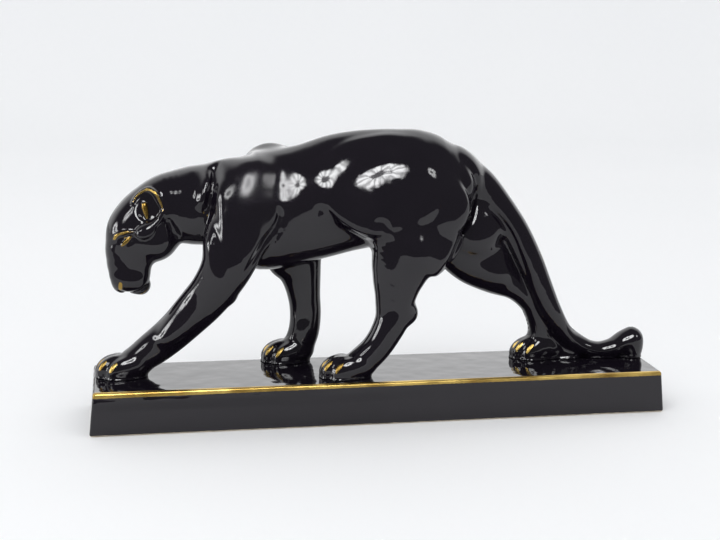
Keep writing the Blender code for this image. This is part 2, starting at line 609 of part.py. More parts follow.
def make_terminal_block(group, materials):
    """A two-way block on the base panel, with a clamping screw over each end of each way."""
    x, y, foot = 190.0, -14.0, REBATE_DEPTH + GAP
    low, high = (x - 11, y - 10, foot), (x + 11, y + 10, foot + 11)
    block = box("terminal_block", group, low, high, materials["porcelain"], 0.8)
    apply_modifiers(block)
    places = [(x + side * 6.0, y + end * 5.5) for side in (-1, 1) for end in (-1, 1)]
    for k, (px, py) in enumerate(places, start=1):
        low, high = (px, py, foot + 4), (px, py, foot + 20)
        cut(block, as_cutter(rod(f"well_{k}", CUTTERS, low, high, 2.6, sides=16)))
    apply_modifiers(block)
    for k, (px, py) in enumerate(places, start=1):
        profile = [(0, 0), (0, 1.5), (4.6, 1.5), (4.6, 2.2), (6.2, 2.2), (6.6, 1.8), (6.6, 0)]
        turned(f"terminal_screw_{k}", group, profile, (px, py, foot + 4.3), (0, 0, 1),
               materials["brass"], sides=14)


def make_leads(group, materials):
    """Two leads up the far hind leg to the lampholder, and two from the block to the switch."""
    nipple_mouth = (BRACKET_X + 9.8, LAMP_Y, LAMP_Z)
    route = [nipple_mouth, (66, 1, 213.5), (70, 3.5, 209)] + BORE_ROUTE[1:-1] + [(166, 18, 38)]
    for name, side in (("lamp_lead_1", -1), ("lamp_lead_2", 1)):
        shifted = [(x, y + side * 1.5, z) for x, y, z in route]
        shifted += [(169 + side * 3, 15, 25), (181 + side * 6, 6, 21), (190 + side * 6, -3.4, 19)]
        wire(name, group, smooth_points(shifted, 2), LEAD_RADIUS, materials["lead_sleeve"])
    back = rear_wall_point(SWITCH_X, SWITCH_Z, -PLINTH_WALL - 21.6).y
    for name, side in (("switch_lead_1", -1), ("switch_lead_2", 1)):
        route = [(SWITCH_X + side * 5, back, SWITCH_Z - 2.5),
                 (SWITCH_X + 4 + side * 5, back - 7, SWITCH_Z - 5),
                 (SWITCH_X + 25, back - 16 + side * 3, 13),
                 (150, -12 + side * 4, 11), (178.2, -14 + side * 5, 10.5)]
        wire(name, group, smooth_points(route, 3), LEAD_RADIUS, materials["lead_sleeve"])


def make_materials():
    return {
        "glaze": make_material("black_glaze", (0.012, 0.013, 0.017), 0.12),
        "fibreboard": make_material("fibreboard", (0.20, 0.13, 0.08), 0.85),
        "felt": make_material("green_felt", (0.03, 0.07, 0.045), 1.0),
        "zinc_steel": make_material("zinc_steel", (0.62, 0.62, 0.60), 0.35, 1.0),
        "brass": make_material("brass", (0.72, 0.52, 0.24), 0.3, 1.0),
        "nickel": make_material("nickel", (0.70, 0.69, 0.66), 0.3, 1.0),
        "solder": make_material("solder", (0.60, 0.60, 0.60), 0.45, 1.0),
        "black_glass": make_material("black_glass", (0.02, 0.02, 0.02), 0.1),
        "bakelite": make_material("bakelite", (0.045, 0.022, 0.014), 0.3),
        "porcelain": make_material("porcelain", (0.80, 0.78, 0.72), 0.25),
        "glass": make_material("bulb_glass", (0.95, 0.97, 1.0), 0.03, 0.0, 0.25),
        "tungsten": make_material("tungsten", (0.35, 0.34, 0.33), 0.4, 1.0),
        "rubber": make_material("grommet_rubber", (0.02, 0.02, 0.02), 0.8),
        "lead_sleeve": make_material("lead_sleeve", (0.30, 0.20, 0.10), 0.6),
    }


clear_scene()
CUTTERS = new_collection("cutters")
LAMP = new_collection("tv_lamp")
MATERIALS = make_materials()
hollow_figure(panther_solid(LAMP, MATERIALS["glaze"]))
make_plinth(LAMP, MATERIALS["glaze"])
make_base(LAMP, MATERIALS)
make_bracket(LAMP, MATERIALS)
make_bracket_screws(LAMP, MATERIALS)
make_holder(LAMP, MATERIALS)
make_bulb(LAMP, MATERIALS)
make_switch(LAMP, MATERIALS)
make_grommet(LAMP, MATERIALS)
make_terminal_block(LAMP, MATERIALS)
make_leads(LAMP, MATERIALS)
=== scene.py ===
"""Looks of the television lamp: a glazed panther on its plinth, with the lamp parts behind it.

The figure is modelled as clay: signed distances on a grid, in millimetres, where limbs are blended,
folds are pressed in and the hollow is scooped out, before the surface is taken off as quads.
"""
import json
import math

import bmesh
import bpy
import numpy as np
import openvdb
from mathutils import Matrix, Vector


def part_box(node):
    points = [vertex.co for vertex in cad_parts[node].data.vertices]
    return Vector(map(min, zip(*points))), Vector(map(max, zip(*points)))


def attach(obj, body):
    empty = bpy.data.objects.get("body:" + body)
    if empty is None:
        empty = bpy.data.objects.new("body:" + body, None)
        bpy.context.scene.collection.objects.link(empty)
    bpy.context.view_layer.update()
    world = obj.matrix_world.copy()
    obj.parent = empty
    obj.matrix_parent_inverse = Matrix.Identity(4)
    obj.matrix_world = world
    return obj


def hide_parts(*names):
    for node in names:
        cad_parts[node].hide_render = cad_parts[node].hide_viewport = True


MM = 0.001
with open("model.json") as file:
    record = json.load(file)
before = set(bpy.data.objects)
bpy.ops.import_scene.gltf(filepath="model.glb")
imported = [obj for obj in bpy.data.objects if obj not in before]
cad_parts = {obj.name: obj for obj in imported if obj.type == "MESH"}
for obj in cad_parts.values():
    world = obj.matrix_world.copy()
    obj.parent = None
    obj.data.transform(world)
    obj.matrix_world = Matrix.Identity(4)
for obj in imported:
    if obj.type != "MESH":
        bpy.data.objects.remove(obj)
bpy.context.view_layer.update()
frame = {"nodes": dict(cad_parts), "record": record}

# ---- camera, as angles about the lamp (degrees) and lengths in millimetres
CAMERA_AZIMUTH = -10.98
CAMERA_ELEVATION = 12.32
CAMERA_ROLL = 1.11
CAMERA_DISTANCE = 1207.0
CAMERA_TARGET = (-21.2, 0.0, 138.9)
CAMERA_LENS = 63.45

# ---- studio: the sweep that is seen, in metres
SWEEP_FRONT, SWEEP_FLAT, SWEEP_CURVE, SWEEP_RISE, SWEEP_HALF_WIDTH = -0.385, 2.2, 0.45, 0.55, 7.0
ROOM_FILL = 0.92       # the world's strength for all but mirrored rays
# ---- studio: what the glaze mirrors; the edges are the direction's Y and Z where the bright sweep fades
SWEEP_EDGE = (-0.08, 0.40)
SWEEP_TOP = (0.85, 0.985)
SWEEP_LIGHT = 1.65
ROOM_LIGHT = 0.16
# umbrella lamps: azimuth to the right of the front, elevation and radius in degrees, soft share, strength
UMBRELLAS = [(-6, 33, 16, 0.3, 20.0), (42, 27, 8, 0.5, 11.0), (-46, 26, 10, 0.5, 12.0),
             (-77, 8, 14, 0.5, 14.0)]
UMBRELLA_RIBS = 10
LAMP_HEAD = 0.12       # light left where the lamp's own head stands before its umbrella

# ---- the plinth and the holes in the lamp, in millimetres
PLINTH_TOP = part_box("plinth")[1][2] / MM
PLINTH_LENGTH, PLINTH_DEPTH, PLINTH_FOOT, PLINTH_WALL, PLINTH_ROUNDING = 552.0, 96.0, 0.4, 6.5, 2.4
END_DRAFT, SIDE_DRAFT = 4.0, 2.0     # how far the ends and the long sides lean in from foot to top
REBATE_DEPTH, REBATE_TOP = 2.5, 4.6  # the step inside the foot that takes the base panel
LEAD_PLACE, LEAD_BORE = (166, 18), 4.6           # where the leads enter the plinth's top, and the bore's radius
CORD_PLACE, CORD_HOLE = (215, 20), 6.2           # x and z in the rear wall, and the hole's radius
SWITCH_PLACE, SWITCH_HOLE = (95, 21), 5.2
SCREW_X, SCREW_HEIGHTS, SCREW_HOLE = 36, (209.5, 219.5), 1.9

# ---- the clay's grid, in millimetres: its step, and the distance beyond which nothing is kept
CLAY_STEP = 1.2
FAR = 12.0

# ---- the figure: each limb is a row of oval sections (x, y, z, half-size across, half-depth in Y)
TORSO = [(-176, 13, 201, 34.5, 27), (-162, 12, 201, 37, 32), (-140, 11, 196, 46, 36),
         (-118, 9, 194.5, 54.5, 38), (-93, 7.5, 198.5, 55.3, 37), (-65, 7.5, 204.5, 55.4, 33),
         (-37, 6, 212.5, 56.4, 32), (-8, 3.5, 217.5, 55.2, 32.5), (19, 0, 222, 51.6, 34), (41, 0, 224, 46, 33),
         (58, 0, 224.5, 36.5, 30), (70, 0, 225.5, 25, 24)]
HEAD = [(-158, 12, 202, 36, 28), (-180, 13, 201, 34, 25), (-197, 14, 200.2, 31.8, 23),
        (-211, 14, 192.5, 31, 22), (-222, 14, 183.5, 30.3, 21.5), (-231, 14, 172.5, 28.3, 21),
        (-235.8, 14, 161.5, 23, 19), (-236.8, 14, 150.5, 19.6, 17)]
MUZZLE = [(-236.6, 14, 154.5, 20, 16.5), (-236.6, 14, 144.5, 19.5, 16), (-236, 14, 136.5, 18.6, 15),
          (-236, 14, 133, 17.3, 14)]
NEAR_FORELEG = [(-131, 0, 228.5, 27, 17), (-134, -8, 210.5, 33, 18), (-137.5, -14, 190.5, 33, 19),
                (-143, -19, 169.5, 29, 18.5), (-149.5, -20, 148.5, 24, 17), (-159.5, -16, 129.5, 21.5, 15.5),
                (-171.5, -10, 112.5, 20.3, 14.5), (-186, -4, 95.5, 18.5, 13.5), (-202, 0, 79.5, 17.2, 13),
                (-219, 3, 65.5, 16, 13), (-233, 3, 56.5, 13.5, 13)]
FAR_FORELEG = [(-100, 18, 224.5, 26, 18), (-97, 24, 197.5, 30, 19), (-87, 27, 168.5, 31, 17),
               (-78.8, 32, 144.5, 27.5, 15), (-73, 34, 127.5, 20, 13.5), (-69.5, 35, 106.5, 16, 12.5),
               (-68, 35, 88.5, 15.3, 12), (-69.5, 35, 71.5, 15.2, 12.5), (-74, 36, 57.5, 15, 12.5)]
NEAR_HINDLEG = [(33, -10, 192.5, 46, 18), (31, -14, 179.5, 46, 20.5), (25.3, -20, 165.5, 40, 23),
                (15.3, -23, 150.5, 31.3, 20), (10.5, -24, 133.5, 24.5, 16.5), (8, -25, 115.5, 19, 14),
                (6, -25, 97.5, 16.5, 13), (-1, -25, 81.5, 14.6, 12.5), (-9.5, -25, 68.5, 13.8, 13),
                (-20, -24, 57.5, 14, 13)]
FAR_HINDLEG = [(52, 12, 214.5, 40, 20), (70, 14, 192.5, 39, 21), (86, 16, 166.5, 37, 20),
               (103, 17, 145.5, 32, 19), (122, 18, 127.5, 22, 16), (139.5, 18, 113.5, 13, 14),
               (153, 18, 99.5, 9.9, 12.5), (160, 18, 86.5, 9.2, 12), (165.5, 18, 72.5, 10.4, 12),
               (166, 18, 59.5, 12, 12.5)]
TAIL = [(32, 1, 250, 12, 18), (50, 1, 246.3, 13, 19), (66, 1, 242.5, 13.5, 17), (82, 2, 233, 13, 14),
        (98, 5, 221, 12.8, 12.5), (115.5, 6, 199.5, 12.8, 12), (133, 6, 174, 13, 12),
        (148.5, 6, 145, 12.8, 12), (160.5, 7, 118.5, 12.4, 12), (173, 8, 92.5, 11.4, 11.5),
        (189, 11, 68, 9.8, 10), (207, 13, 54.5, 8.7, 9), (226, 12, 48.5, 8.5, 9), (242, 11, 50.5, 9.5, 10),
        (254, 10, 56, 12, 11), (262.5, 10, 59, 13, 11.5)]
WEB = [(146, 14, 124.5, 9, 5), (161, 15, 96.5, 10, 6), (172, 15, 76.5, 15, 6.5), (186, 15, 59.5, 17, 6.5),
       (201, 14, 45.5, 19, 7)]
CAVITY = [(-140, 11, 198.5, 32, 23), (-118, 10, 196.5, 47, 30), (-93, 8, 199.5, 48.5, 29),
          (-65, 6, 205.5, 48.5, 27.5), (-37, 4, 212.5, 49.5, 27), (-8, 2, 216.5, 47.5, 27.5),
          (19, 0, 220.5, 43, 28), (41, -1, 222, 37, 28), (57, -1, 222, 28, 24), (70, 0, 219.5, 17, 16)]
# each paw: toe tip x, middle y, half-width
PAWS = {"near_fore": (-271.5, 3.5, 15), "far_fore": (-112.5, 36, 14.5), "near_hind": (-64, -24, 14.5),
        "far_hind": (136, 18, 14)}

# lines in the XZ plane, laid on the near side
EAR_RIM = [(-233.5, 206), (-228.5, 213), (-219.5, 218.5), (-212.5, 215.5), (-208.5, 208), (-206, 200)]
EAR_LOBE = [(-206.5, 198), (-210.5, 191), (-217, 185.5), (-226, 181.5)]
EAR_STRIPE = [(-222.3, 204.5), (-221.6, 199), (-220.3, 193)]
BROW = [(-249.8, 173.7), (-247.3, 177.2), (-239.3, 180.2), (-231.3, 180.7)]
EYE = [(-243, 167.8), (-239, 171.8), (-234, 176.8)]
EYE_LIGHT = [(-242.8, 173.3), (-238.8, 175.3)]
MOUTH = [(-249, 126), (-241, 121.5), (-233, 122), (-225, 125.5), (-217, 133)]
NOSE_SPOT = [(-245.3, 131.2), (-245.6, 125.8)]
LIP_LINE = [(-244, 118.5), (-238, 117), (-232, 116.8), (-225, 120.4), (-219, 127)]
# groove lines: points, width, depth, share of the length over which the ends fade
FOLDS = [([(-153, 245.5), (-158, 234.5), (-163, 216.5), (-166, 194.5), (-169, 170.5)], 5.0, 5.0, 0.3),
         ([(-162, 214.5), (-160, 187.5), (-157, 162.5), (-155, 138.5)], 5.0, 3.0, 0.35),
         ([(-106, 210.5), (-102, 198.5), (-106, 186.5), (-116, 172.5), (-124, 160.5), (-141, 135.5)],
          3.2, 3.4, 0.25),
         ([(-100, 187.5), (-107, 172.5), (-121, 151.5)], 2.0, 2.0, 0.3),
         ([(-203, 194.5), (-199, 183.5), (-193, 170.5)], 4.0, 3.0, 0.3),
         ([(-22, 187.5), (-14, 191.5), (-8, 190.5), (-6, 184.5), (-9, 176.5)], 4.0, 2.0, 0.4),
         ([(62, 252.5), (74, 242.5), (84, 228.5), (87, 211.5), (82, 190.5), (69, 169.5), (56, 147.5),
           (40, 128.5)], 3.6, 4.0, 0.3),
         ([(-98, 242.5), (-100, 224.5), (-100, 207.5)], 22.0, 1.6, 0.4),
         ([(98, 198.5), (109, 191.5), (124, 174.5), (135, 152.5), (145, 125.5), (149, 106.5)], 3.0, 2.6, 0.25),
         ([(-174, 207.5), (-170, 202.5), (-171, 195.5)], 1.4, 1.2, 0.4),
         ([(-162, 236), (-168, 220), (-176, 200)], 5.5, -3.2, 0.3),
         ([(-245.5, 167), (-244.5, 156), (-237, 146), (-224, 142)], 5.0, 1.6, 0.3)]
# gilt on the near side of the face: line, radius at each of its points
FACE_GILT = [(EAR_RIM, (0.4, 0.9, 1.1, 1.2, 1.1, 0.5)), (EAR_STRIPE, (2.6, 2.4, 1.2)),
             (BROW, (1.4, 1.3, 1.0, 0.3)), (EYE, (1.0, 1.8, 0.6)), (EYE_LIGHT, (0.5, 0.7)),
             (NOSE_SPOT, (1.9, 1.8)), (LIP_LINE, (0.2, 0.5, 0.6, 0.5, 0.2)),
             ([(-170, 199), (-169.6, 198.6)], (0.9, 0.9)), ([(-166.4, 196.5), (-166, 195.6)], (0.8, 0.8))]
FACE_DEPTH = (-40, 8)      # the near side of the head, in Y
TAIL_GILT = ([(152, 165), (166, 137), (179, 108)], (0.1, 0.6, 0.1))
# the claws' gilt, from a toe's centre, and its radii
CLAW = [(-4.6, -3.2, 7.6), (-8.4, -3.2, 3.8), (-10.6, -3.2, -0.6)]
CLAW_RADII = (1.1, 2.1, 1.1)
# soft patches on the near flank, which ends at NEAR_FLANK in Y: x, z, their radii and strength
NEAR_FLANK = 5
WRINKLES = [(-8, 236, 24, 24, 0.4), (50, 230, 16, 16, 0.4), (84, 226, 20, 20, 0.5), (-62, 226, 22, 22, 0.2)]
HAZE = [(-122, 224, 28, 34, 1.0)]              # dull glaze over the shoulder blade
WINDOW = (-17.0, 212.5, 80.0, 58.0, 27.0)      # middle x and z, width, height, corner radius, in the far flank
BORE = [(71, 5, 205.5), (79, 12, 180.5), (92, 15, 160.5), (110, 17, 139.5), (128, 18, 123.5),
        (143, 18, 108.5), (154, 18, 90.5), (161, 18, 70.5), (165, 18, 50.5), (166, 18, 30.5)]


def smooth_points(points, steps):
    """Catmull-Rom points through a list of equal-length number rows."""
    padded = [points[0]] + list(points) + [points[-1]]
    result = []
    for p0, p1, p2, p3 in zip(padded, padded[1:], padded[2:], padded[3:]):
        for s in range(steps):
            t = s / steps
            result.append(tuple(
                0.5 * (2 * b + (c - a) * t + (2 * a - 5 * b + 4 * c - d) * t * t
                       + (3 * b - a - 3 * c + d) * t ** 3)
                for a, b, c, d in zip(p0, p1, p2, p3)))
    result.append(tuple(float(v) for v in points[-1]))
    return result


def ramp(value, start, end):
    """0 before start, 1 after end, smooth between; start may be above end."""
    t = np.clip((value - start) / (end - start), 0.0, 1.0)
    return t * t * (3 - 2 * t)


def smooth_min(a, b, k):
    h = np.maximum(k - np.abs(a - b), 0.0) / k
    return np.minimum(a, b) - h * h * k * 0.25


def smooth_max(a, b, k):
    return -smooth_min(-a, -b, k)


def nearest_on_path(px, pz, path):
    """For points in the XZ plane: place along a polyline, signed offset across it, overshoot at its ends."""
    best = np.full(px.shape, 1e9)
    along, across, past = (np.zeros(px.shape) for _ in range(3))
    last = len(path) - 2
    for k in range(len(path) - 1):
        x0, z0 = path[k]
        dx, dz = path[k + 1][0] - x0, path[k + 1][1] - z0
        length = math.hypot(dx, dz)
        if length < 1e-6:
            continue
        raw = ((px - x0) * dx + (pz - z0) * dz) / length
        inside = np.clip(raw, 0, length)
        side = ((pz - z0) * dx - (px - x0) * dz) / length
        over = raw - inside
        distance = np.hypot(side, over)
        closer = distance < best
        end = (over < 0) & (k == 0) | (over > 0) & (k == last)
        best = np.where(closer, distance, best)
        along = np.where(closer, k + inside / length, along)
        signed = np.where(end, side, np.copysign(distance, side))
        across = np.where(closer, signed, across)
        past = np.where(closer, np.where(end, np.abs(over), 0.0), past)
    return along, across, past


def cord_distance(coords, rows):
    """Distance from points, one array per axis, to a cord whose rows are its points with their radii."""
    best = None
    for start, end in zip(rows, rows[1:]):
        step = (end - start)[:-1]
        offsets = [c - s for c, s in zip(coords, start)]
        t = np.clip(sum(o * d for o, d in zip(offsets, step)) / (step @ step + 1e-9), 0, 1)
        gap = (np.sqrt(sum((o - t * d) ** 2 for o, d in zip(offsets, step)))
               - (start[-1] + t * (end[-1] - start[-1])))
        best = gap if best is None else np.minimum(best, gap)
    return best


def cord_rows(path, radii, steps):
    return np.array(smooth_points([tuple(q) + (r,) for q, r in zip(path, radii)], steps))


class Clay:
    """A block of signed distances, negative inside, on a regular grid in millimetres."""

    def __init__(self, low, high, step):
        self.low, self.step = np.array(low, float), step
        counts = [int(math.ceil((h - l) / step)) + 1 for l, h in zip(low, high)]
        self.axes = [low[i] + step * np.arange(counts[i]) for i in range(3)]
        self.field = np.full(counts, FAR, np.float32)

    def window(self, low, high):
        """Slices of the grid that cover a box, and the coordinates in it shaped for broadcasting."""
        cuts = tuple(slice(max(0, int((a - start) / self.step) - 1), int((b - start) / self.step) + 2)
                     for a, b, start in zip(low, high, self.low))
        return cuts, np.ix_(*(axis[span] for axis, span in zip(self.axes, cuts)))

    def beside(self, path, reach, low_y, high_y):
        """The window round an XZ line, and how each of its columns lies along, across and past the line."""
        low, high = path.min(0) - reach, path.max(0) + reach
        cuts, (x, y, z) = self.window((low[0], low_y, low[1]), (high[0], high_y, high[1]))
        columns = np.broadcast_arrays(x[:, 0, :], z[:, 0, :])
        return cuts, (x, y, z), nearest_on_path(*columns, path)

    def limb_distance(self, stations, squareness=2.0):
        """Distance to one limb, in the window that holds it; its sections are ovals, squarer above 2."""
        rows = np.array(smooth_points(stations, 6))
        low_y, high_y = (rows[:, 1] - rows[:, 4]).min() - FAR, (rows[:, 1] + rows[:, 4]).max() + FAR
        cuts, (x, y, z), (along, across, past) = self.beside(
            rows[:, [0, 2]], rows[:, 3].max() + FAR, low_y, high_y)
        index = np.arange(len(rows))
        middle, a, b = (np.interp(along, index, rows[:, i])[:, None, :] for i in (1, 3, 4))
        cap = np.minimum(a, b)
        p = squareness
        u, w, v = np.abs(across[:, None, :] / a), past[:, None, :] / cap, np.abs((y - middle) / b)
        k0 = (u ** p + w ** p + v ** p) ** (1 / p)
        k1 = np.sqrt((u ** (p - 1) / a) ** 2 + (w ** (p - 1) / cap) ** 2 + (v ** (p - 1) / b) ** 2) + 1e-9
        return cuts, (k0 - 1) * k0 ** (p - 1) / k1, (x, y, z)

    def tube_distance(self, path, radii):
        """Distance to a round cord through 3-D points, with a radius at each."""
        rows = cord_rows(path, radii, 4)
        reach = rows[:, 3].max() + FAR
        cuts, coords = self.window(rows[:, :3].min(0) - reach, rows[:, :3].max(0) + reach)
        return cuts, cord_distance(coords, rows), coords

    def near_y(self, x, z):
        """Where a line along +Y at (x, z) first meets the clay."""
        i, k = (np.clip((v - self.low[n]) / self.step, 0, len(self.axes[n]) - 1.001)
                for v, n in ((x, 0), (z, 2)))
        i0, k0 = int(i), int(k)
        across, above = i - i0, k - k0
        f = self.field
        line = ((f[i0, :, k0] * (1 - above) + f[i0, :, k0 + 1] * above) * (1 - across)
                + (f[i0 + 1, :, k0] * (1 - above) + f[i0 + 1, :, k0 + 1] * above) * across)
        j = int(np.argmax(line < 0))
        t = line[j - 1] / (line[j - 1] - line[j]) if j else 0.0
        return self.axes[1][max(j - 1, 0)] + t * self.step

    def ball_distance(self, centre, radii, lean=0.0, tip=0.0, margin=FAR):
        """Distance to an ellipsoid turned about Y by lean degrees, its near pole raised by tip degrees."""
        wide = max(radii[0], radii[2]) + margin
        reach = np.array((wide, (max(radii) if tip else radii[1]) + margin, wide))
        cuts, (x, y, z) = self.window(centre - reach, centre + reach)
        c, s = math.cos(math.radians(lean)), math.sin(math.radians(lean))
        up, out = math.sin(math.radians(tip)), math.cos(math.radians(tip))
        dx, dy, dz = x - centre[0], y - centre[1], z - centre[2]
        rise = dz * c - dx * s
        u, v = (dx * c + dz * s) / radii[0], (dy * out - rise * up) / radii[1]
        w = (rise * out + dy * up) / radii[2]
        k0 = np.sqrt(u ** 2 + v ** 2 + w ** 2)
        k1 = np.sqrt((u / radii[0]) ** 2 + (v / radii[1]) ** 2 + (w / radii[2]) ** 2) + 1e-9
        return cuts, k0 * (k0 - 1) / k1, (x, y, z)

    def add(self, piece, blend):
        """Join a piece on; blend is a width in millimetres or a function of (x, y, z)."""
        cuts, distance, (x, y, z) = piece
        width = blend(x, y, z) if callable(blend) else blend
        self.field[cuts] = smooth_min(self.field[cuts], distance, width)

    def add_limb(self, stations, blend, squareness=2.0):
        self.add(self.limb_distance(stations, squareness), blend)

    def add_ball(self, centre, radii, blend, **pose):
        self.add(self.ball_distance(centre, radii, **pose), blend)

    def add_cord(self, path, lift, radii, blend):
        """Lay a cord on the near flank along an XZ line, raised by lift."""
        path = [(x, self.near_y(x, z) - lift, z) for x, z in path]
        self.add(self.tube_distance(path, radii), blend)

    def carve(self, piece, blend):
        cuts, distance, _ = piece
        self.field[cuts] = smooth_max(self.field[cuts], -distance, blend)

    def stroke(self, path, width, depth, side_y=0.0, fade=0.35):
        """Press a groove (depth above 0) or raise a ridge (below 0) along an XZ line, nearer than side_y."""
        rows = np.array(smooth_points(path, 6))
        cuts, (_, y, _), (along, across, past) = self.beside(rows, 3 * width, self.low[1], self.axes[1][-1])
        share = along / (len(rows) - 1)
        ends = ramp(share, 0.0, fade) * ramp(share, 1.0, 1.0 - fade)
        press = depth * np.exp(-(np.hypot(across, past) / width) ** 2) * ends
        mask = ramp(side_y - y, -2.0, 2.0)
        self.field[cuts] += (press[:, None, :] * mask).astype(np.float32)

    def soften(self):
        """Blur the distances a little, so that reflections run smoothly."""
        for axis in range(3):
            f = self.field
            padded = np.concatenate([f.take([0], axis), f, f.take([-1], axis)], axis)
            n = f.shape[axis]
            before, after = padded.take(range(0, n), axis), padded.take(range(2, n + 2), axis)
            self.field = (0.25 * before + 0.5 * f + 0.25 * after).astype(np.float32)

    def sample(self, values, points):
        """Values of a grid array at points, between the grid's nodes."""
        place = (points - self.low) / self.step
        base = np.clip(place.astype(int), 0, np.array(values.shape) - 2)
        t = np.clip(place - base, 0, 1)
        total = np.zeros(len(points))
        for corner in range(8):
            offset = np.array([corner & 1, corner >> 1 & 1, corner >> 2 & 1])
            weight = np.prod(np.where(offset, t, 1 - t), axis=1)
            total += weight * values[tuple((base + offset).T)]
        return total

    def surface(self):
        """The zero surface as points in millimetres and outward quads."""
        grid = openvdb.FloatGrid(FAR)
        grid.copyFromArray(np.clip(self.field, -FAR, FAR).astype(np.float32))
        points, quads = grid.convertToQuads(isovalue=0.0)
        points = np.array(points, float) * self.step + self.low
        quads = np.array(quads, int)
        corners = points[quads]
        normal = np.cross(corners[:, 2] - corners[:, 0], corners[:, 3] - corners[:, 1])
        if (corners.mean(1) * normal).sum() < 0:
            quads = quads[:, ::-1]
        return relax(points, quads), quads


def relax(points, quads, rounds=3):
    """Taubin smoothing: evens out the grid's stair steps and keeps the volume."""
    edges = np.concatenate([quads[:, [0, 1]], quads[:, [1, 2]], quads[:, [2, 3]], quads[:, [3, 0]]])
    count = np.bincount(edges.ravel(), minlength=len(points)).astype(float)[:, None]
    for factor in (0.5, -0.52) * rounds:
        total = np.stack([np.bincount(edges[:, 0], points[edges[:, 1], i], len(points))
                          + np.bincount(edges[:, 1], points[edges[:, 0], i], len(points)) for i in range(3)], 1)
        points = points + factor * (total / count - points)
    return points


# ---- modelling the panther

def model_figure():
    """The whole figure; the balls are muscles and joints, added after the limb that they sit on."""
    clay = Clay((-282, -50, PLINTH_TOP - 3), (284, 62, 278), CLAY_STEP)
    clay.add_limb(TORSO, 1.0)
    clay.add_ball((-105, 28, 235), (24, 13, 22), 14.0, lean=10)   # far shoulder blade
    clay.add_ball((-82, 5, 213), (27, 34, 32), 14.0, lean=-8, margin=16)   # ribs
    clay.add_limb(HEAD, 10.0, 2.2)
    clay.add_limb(TAIL, lambda x, y, z: 3 + 16 * ramp(x, 105, 65))
    clay.add_limb(FAR_HINDLEG, lambda x, y, z: 4 + 8 * ramp(z, 150, 200))
    clay.add_ball((95, 6, 179), (25, 15, 27), 8.0, lean=-30, tip=16)   # far thigh
    clay.add_ball((111, 15, 133), (21, 17, 16), 8.0, lean=-40)   # far hock
    clay.add_limb(WEB, 5.0)
    clay.add_limb(FAR_FORELEG, lambda x, y, z: 8 + 8 * ramp(z, 160, 210))
    clay.add_ball((24, -24.5, 203), (54, 15, 41), lambda x, y, z: (
        4 + 14 * ramp(x, 66, 30) + 6 * ramp(x, 20, -20)), lean=-6, margin=26)   # haunch
    clay.add_ball((-12, -24.2, 220.5), (45, 10, 40), 16.0, lean=8, tip=20, margin=20)   # flat of the haunch
    clay.add_limb(NEAR_HINDLEG, lambda x, y, z: 4 + 6 * ramp(x, 60, 30), 2.3)
    clay.add_ball((19, -25, 102), (11.5, 9, 12), 5.0)   # near hock
    clay.add_ball((-1, -29, 86), (22, 9, 9), 6.0, lean=66, tip=30)   # near shin
    clay.add_ball((22, -28, 168), (16, 14.5, 18), 14.0, lean=20, tip=12, margin=18)   # near thigh
    clay.add_limb(NEAR_FORELEG, lambda x, y, z: 4 + 14 * ramp(z, 198, 238))
    clay.add_ball((-128, -14, 211), (24, 17, 33), 14.0, lean=-16, tip=6, margin=18)   # near shoulder
    clay.add_ball((-179, -11.5, 110), (46, 9, 13), 7.0, lean=48, tip=34)   # near forearm
    clay.add_ball((-148, -14, 121.5), (8.5, 9, 9), 4.0)   # near elbow
    for paw in PAWS.values():
        model_paw(clay, *paw)
    clay.add_ball((262.5, 10, 49.5), (11.5, 10.5, 13), 4.0)   # tip of the tail
    clay.add_limb(MUZZLE, 5.0, 3.0)
    clay.add_ball((-211, 9, 171.5), (20, 20, 23), 8.0, lean=-35)   # cheek
    clay.add_ball((-226.5, 12, 127), (9, 11, 9.5), 3.0)   # chin
    clay.add_ball((-238, 6.5, 134), (16, 10.5, 11), 5.0, lean=-8)   # muzzle
    for points, width, depth, fade in FOLDS:
        clay.stroke(points, width, depth, fade=fade)
    clay.soften()
    model_face(clay)
    meet_plinth(clay)
    hollow_out(clay)
    return clay


def toe_places(toe, middle, half_width):
    """The four toes' centres; the outer two sit back and lower, the near one most."""
    for k in range(4):
        spread = (k - 1.5) / 1.5
        set_back = (12.0 if spread < 0 else 5.0) * abs(spread) ** 1.4
        yield toe + 13.6 + set_back, middle + spread * (half_width - 5.4), PLINTH_TOP + 9.8 - 1.2 * abs(spread)


def model_paw(clay, toe, middle, half_width):
    clay.add_ball((toe + 32, middle, PLINTH_TOP + 8), (20, half_width - 1, 13.5), 6.0, lean=8)
    for centre in toe_places(toe, middle, half_width):
        clay.add_ball(centre, (15, 5.5, 10.5), 3.2, lean=35)


def model_face(clay):
    """Ear, eye, brow and mouth, laid on the near side of the head."""
    clay.carve(clay.ball_distance((-218, clay.near_y(-218, 203.5), 203.5), (12.5, 4.0, 14.0), lean=10), 3.0)
    clay.add_cord(EAR_RIM, 1.2, (1.2, 2.0, 2.3, 2.3, 2.1, 1.4), 2.0)
    clay.add_cord(EAR_LOBE, 0.3, (1.6, 2.4, 3.0, 2.4), 3.0)
    clay.add_ball((-222, clay.near_y(-222, 181) + 1.0, 181), (9, 3.2, 6), 3.0, lean=25, tip=22)
    clay.add_cord(EAR_STRIPE, 0.4, (2.2, 2.4, 1.6), 1.5)
    clay.carve(clay.ball_distance((-240, clay.near_y(-240, 174.5) - 1.0, 173.5), (8.5, 2.6, 5.0), lean=25), 2.0)
    clay.add_cord(BROW, 0.2, (1.1, 1.5, 1.5, 0.8), 1.5)
    clay.add_cord(EYE, 0.0, (1.3, 1.9, 0.8), 1.2)
    clay.stroke(MOUTH, 1.5, 2.0, side_y=20.0, fade=0.2)


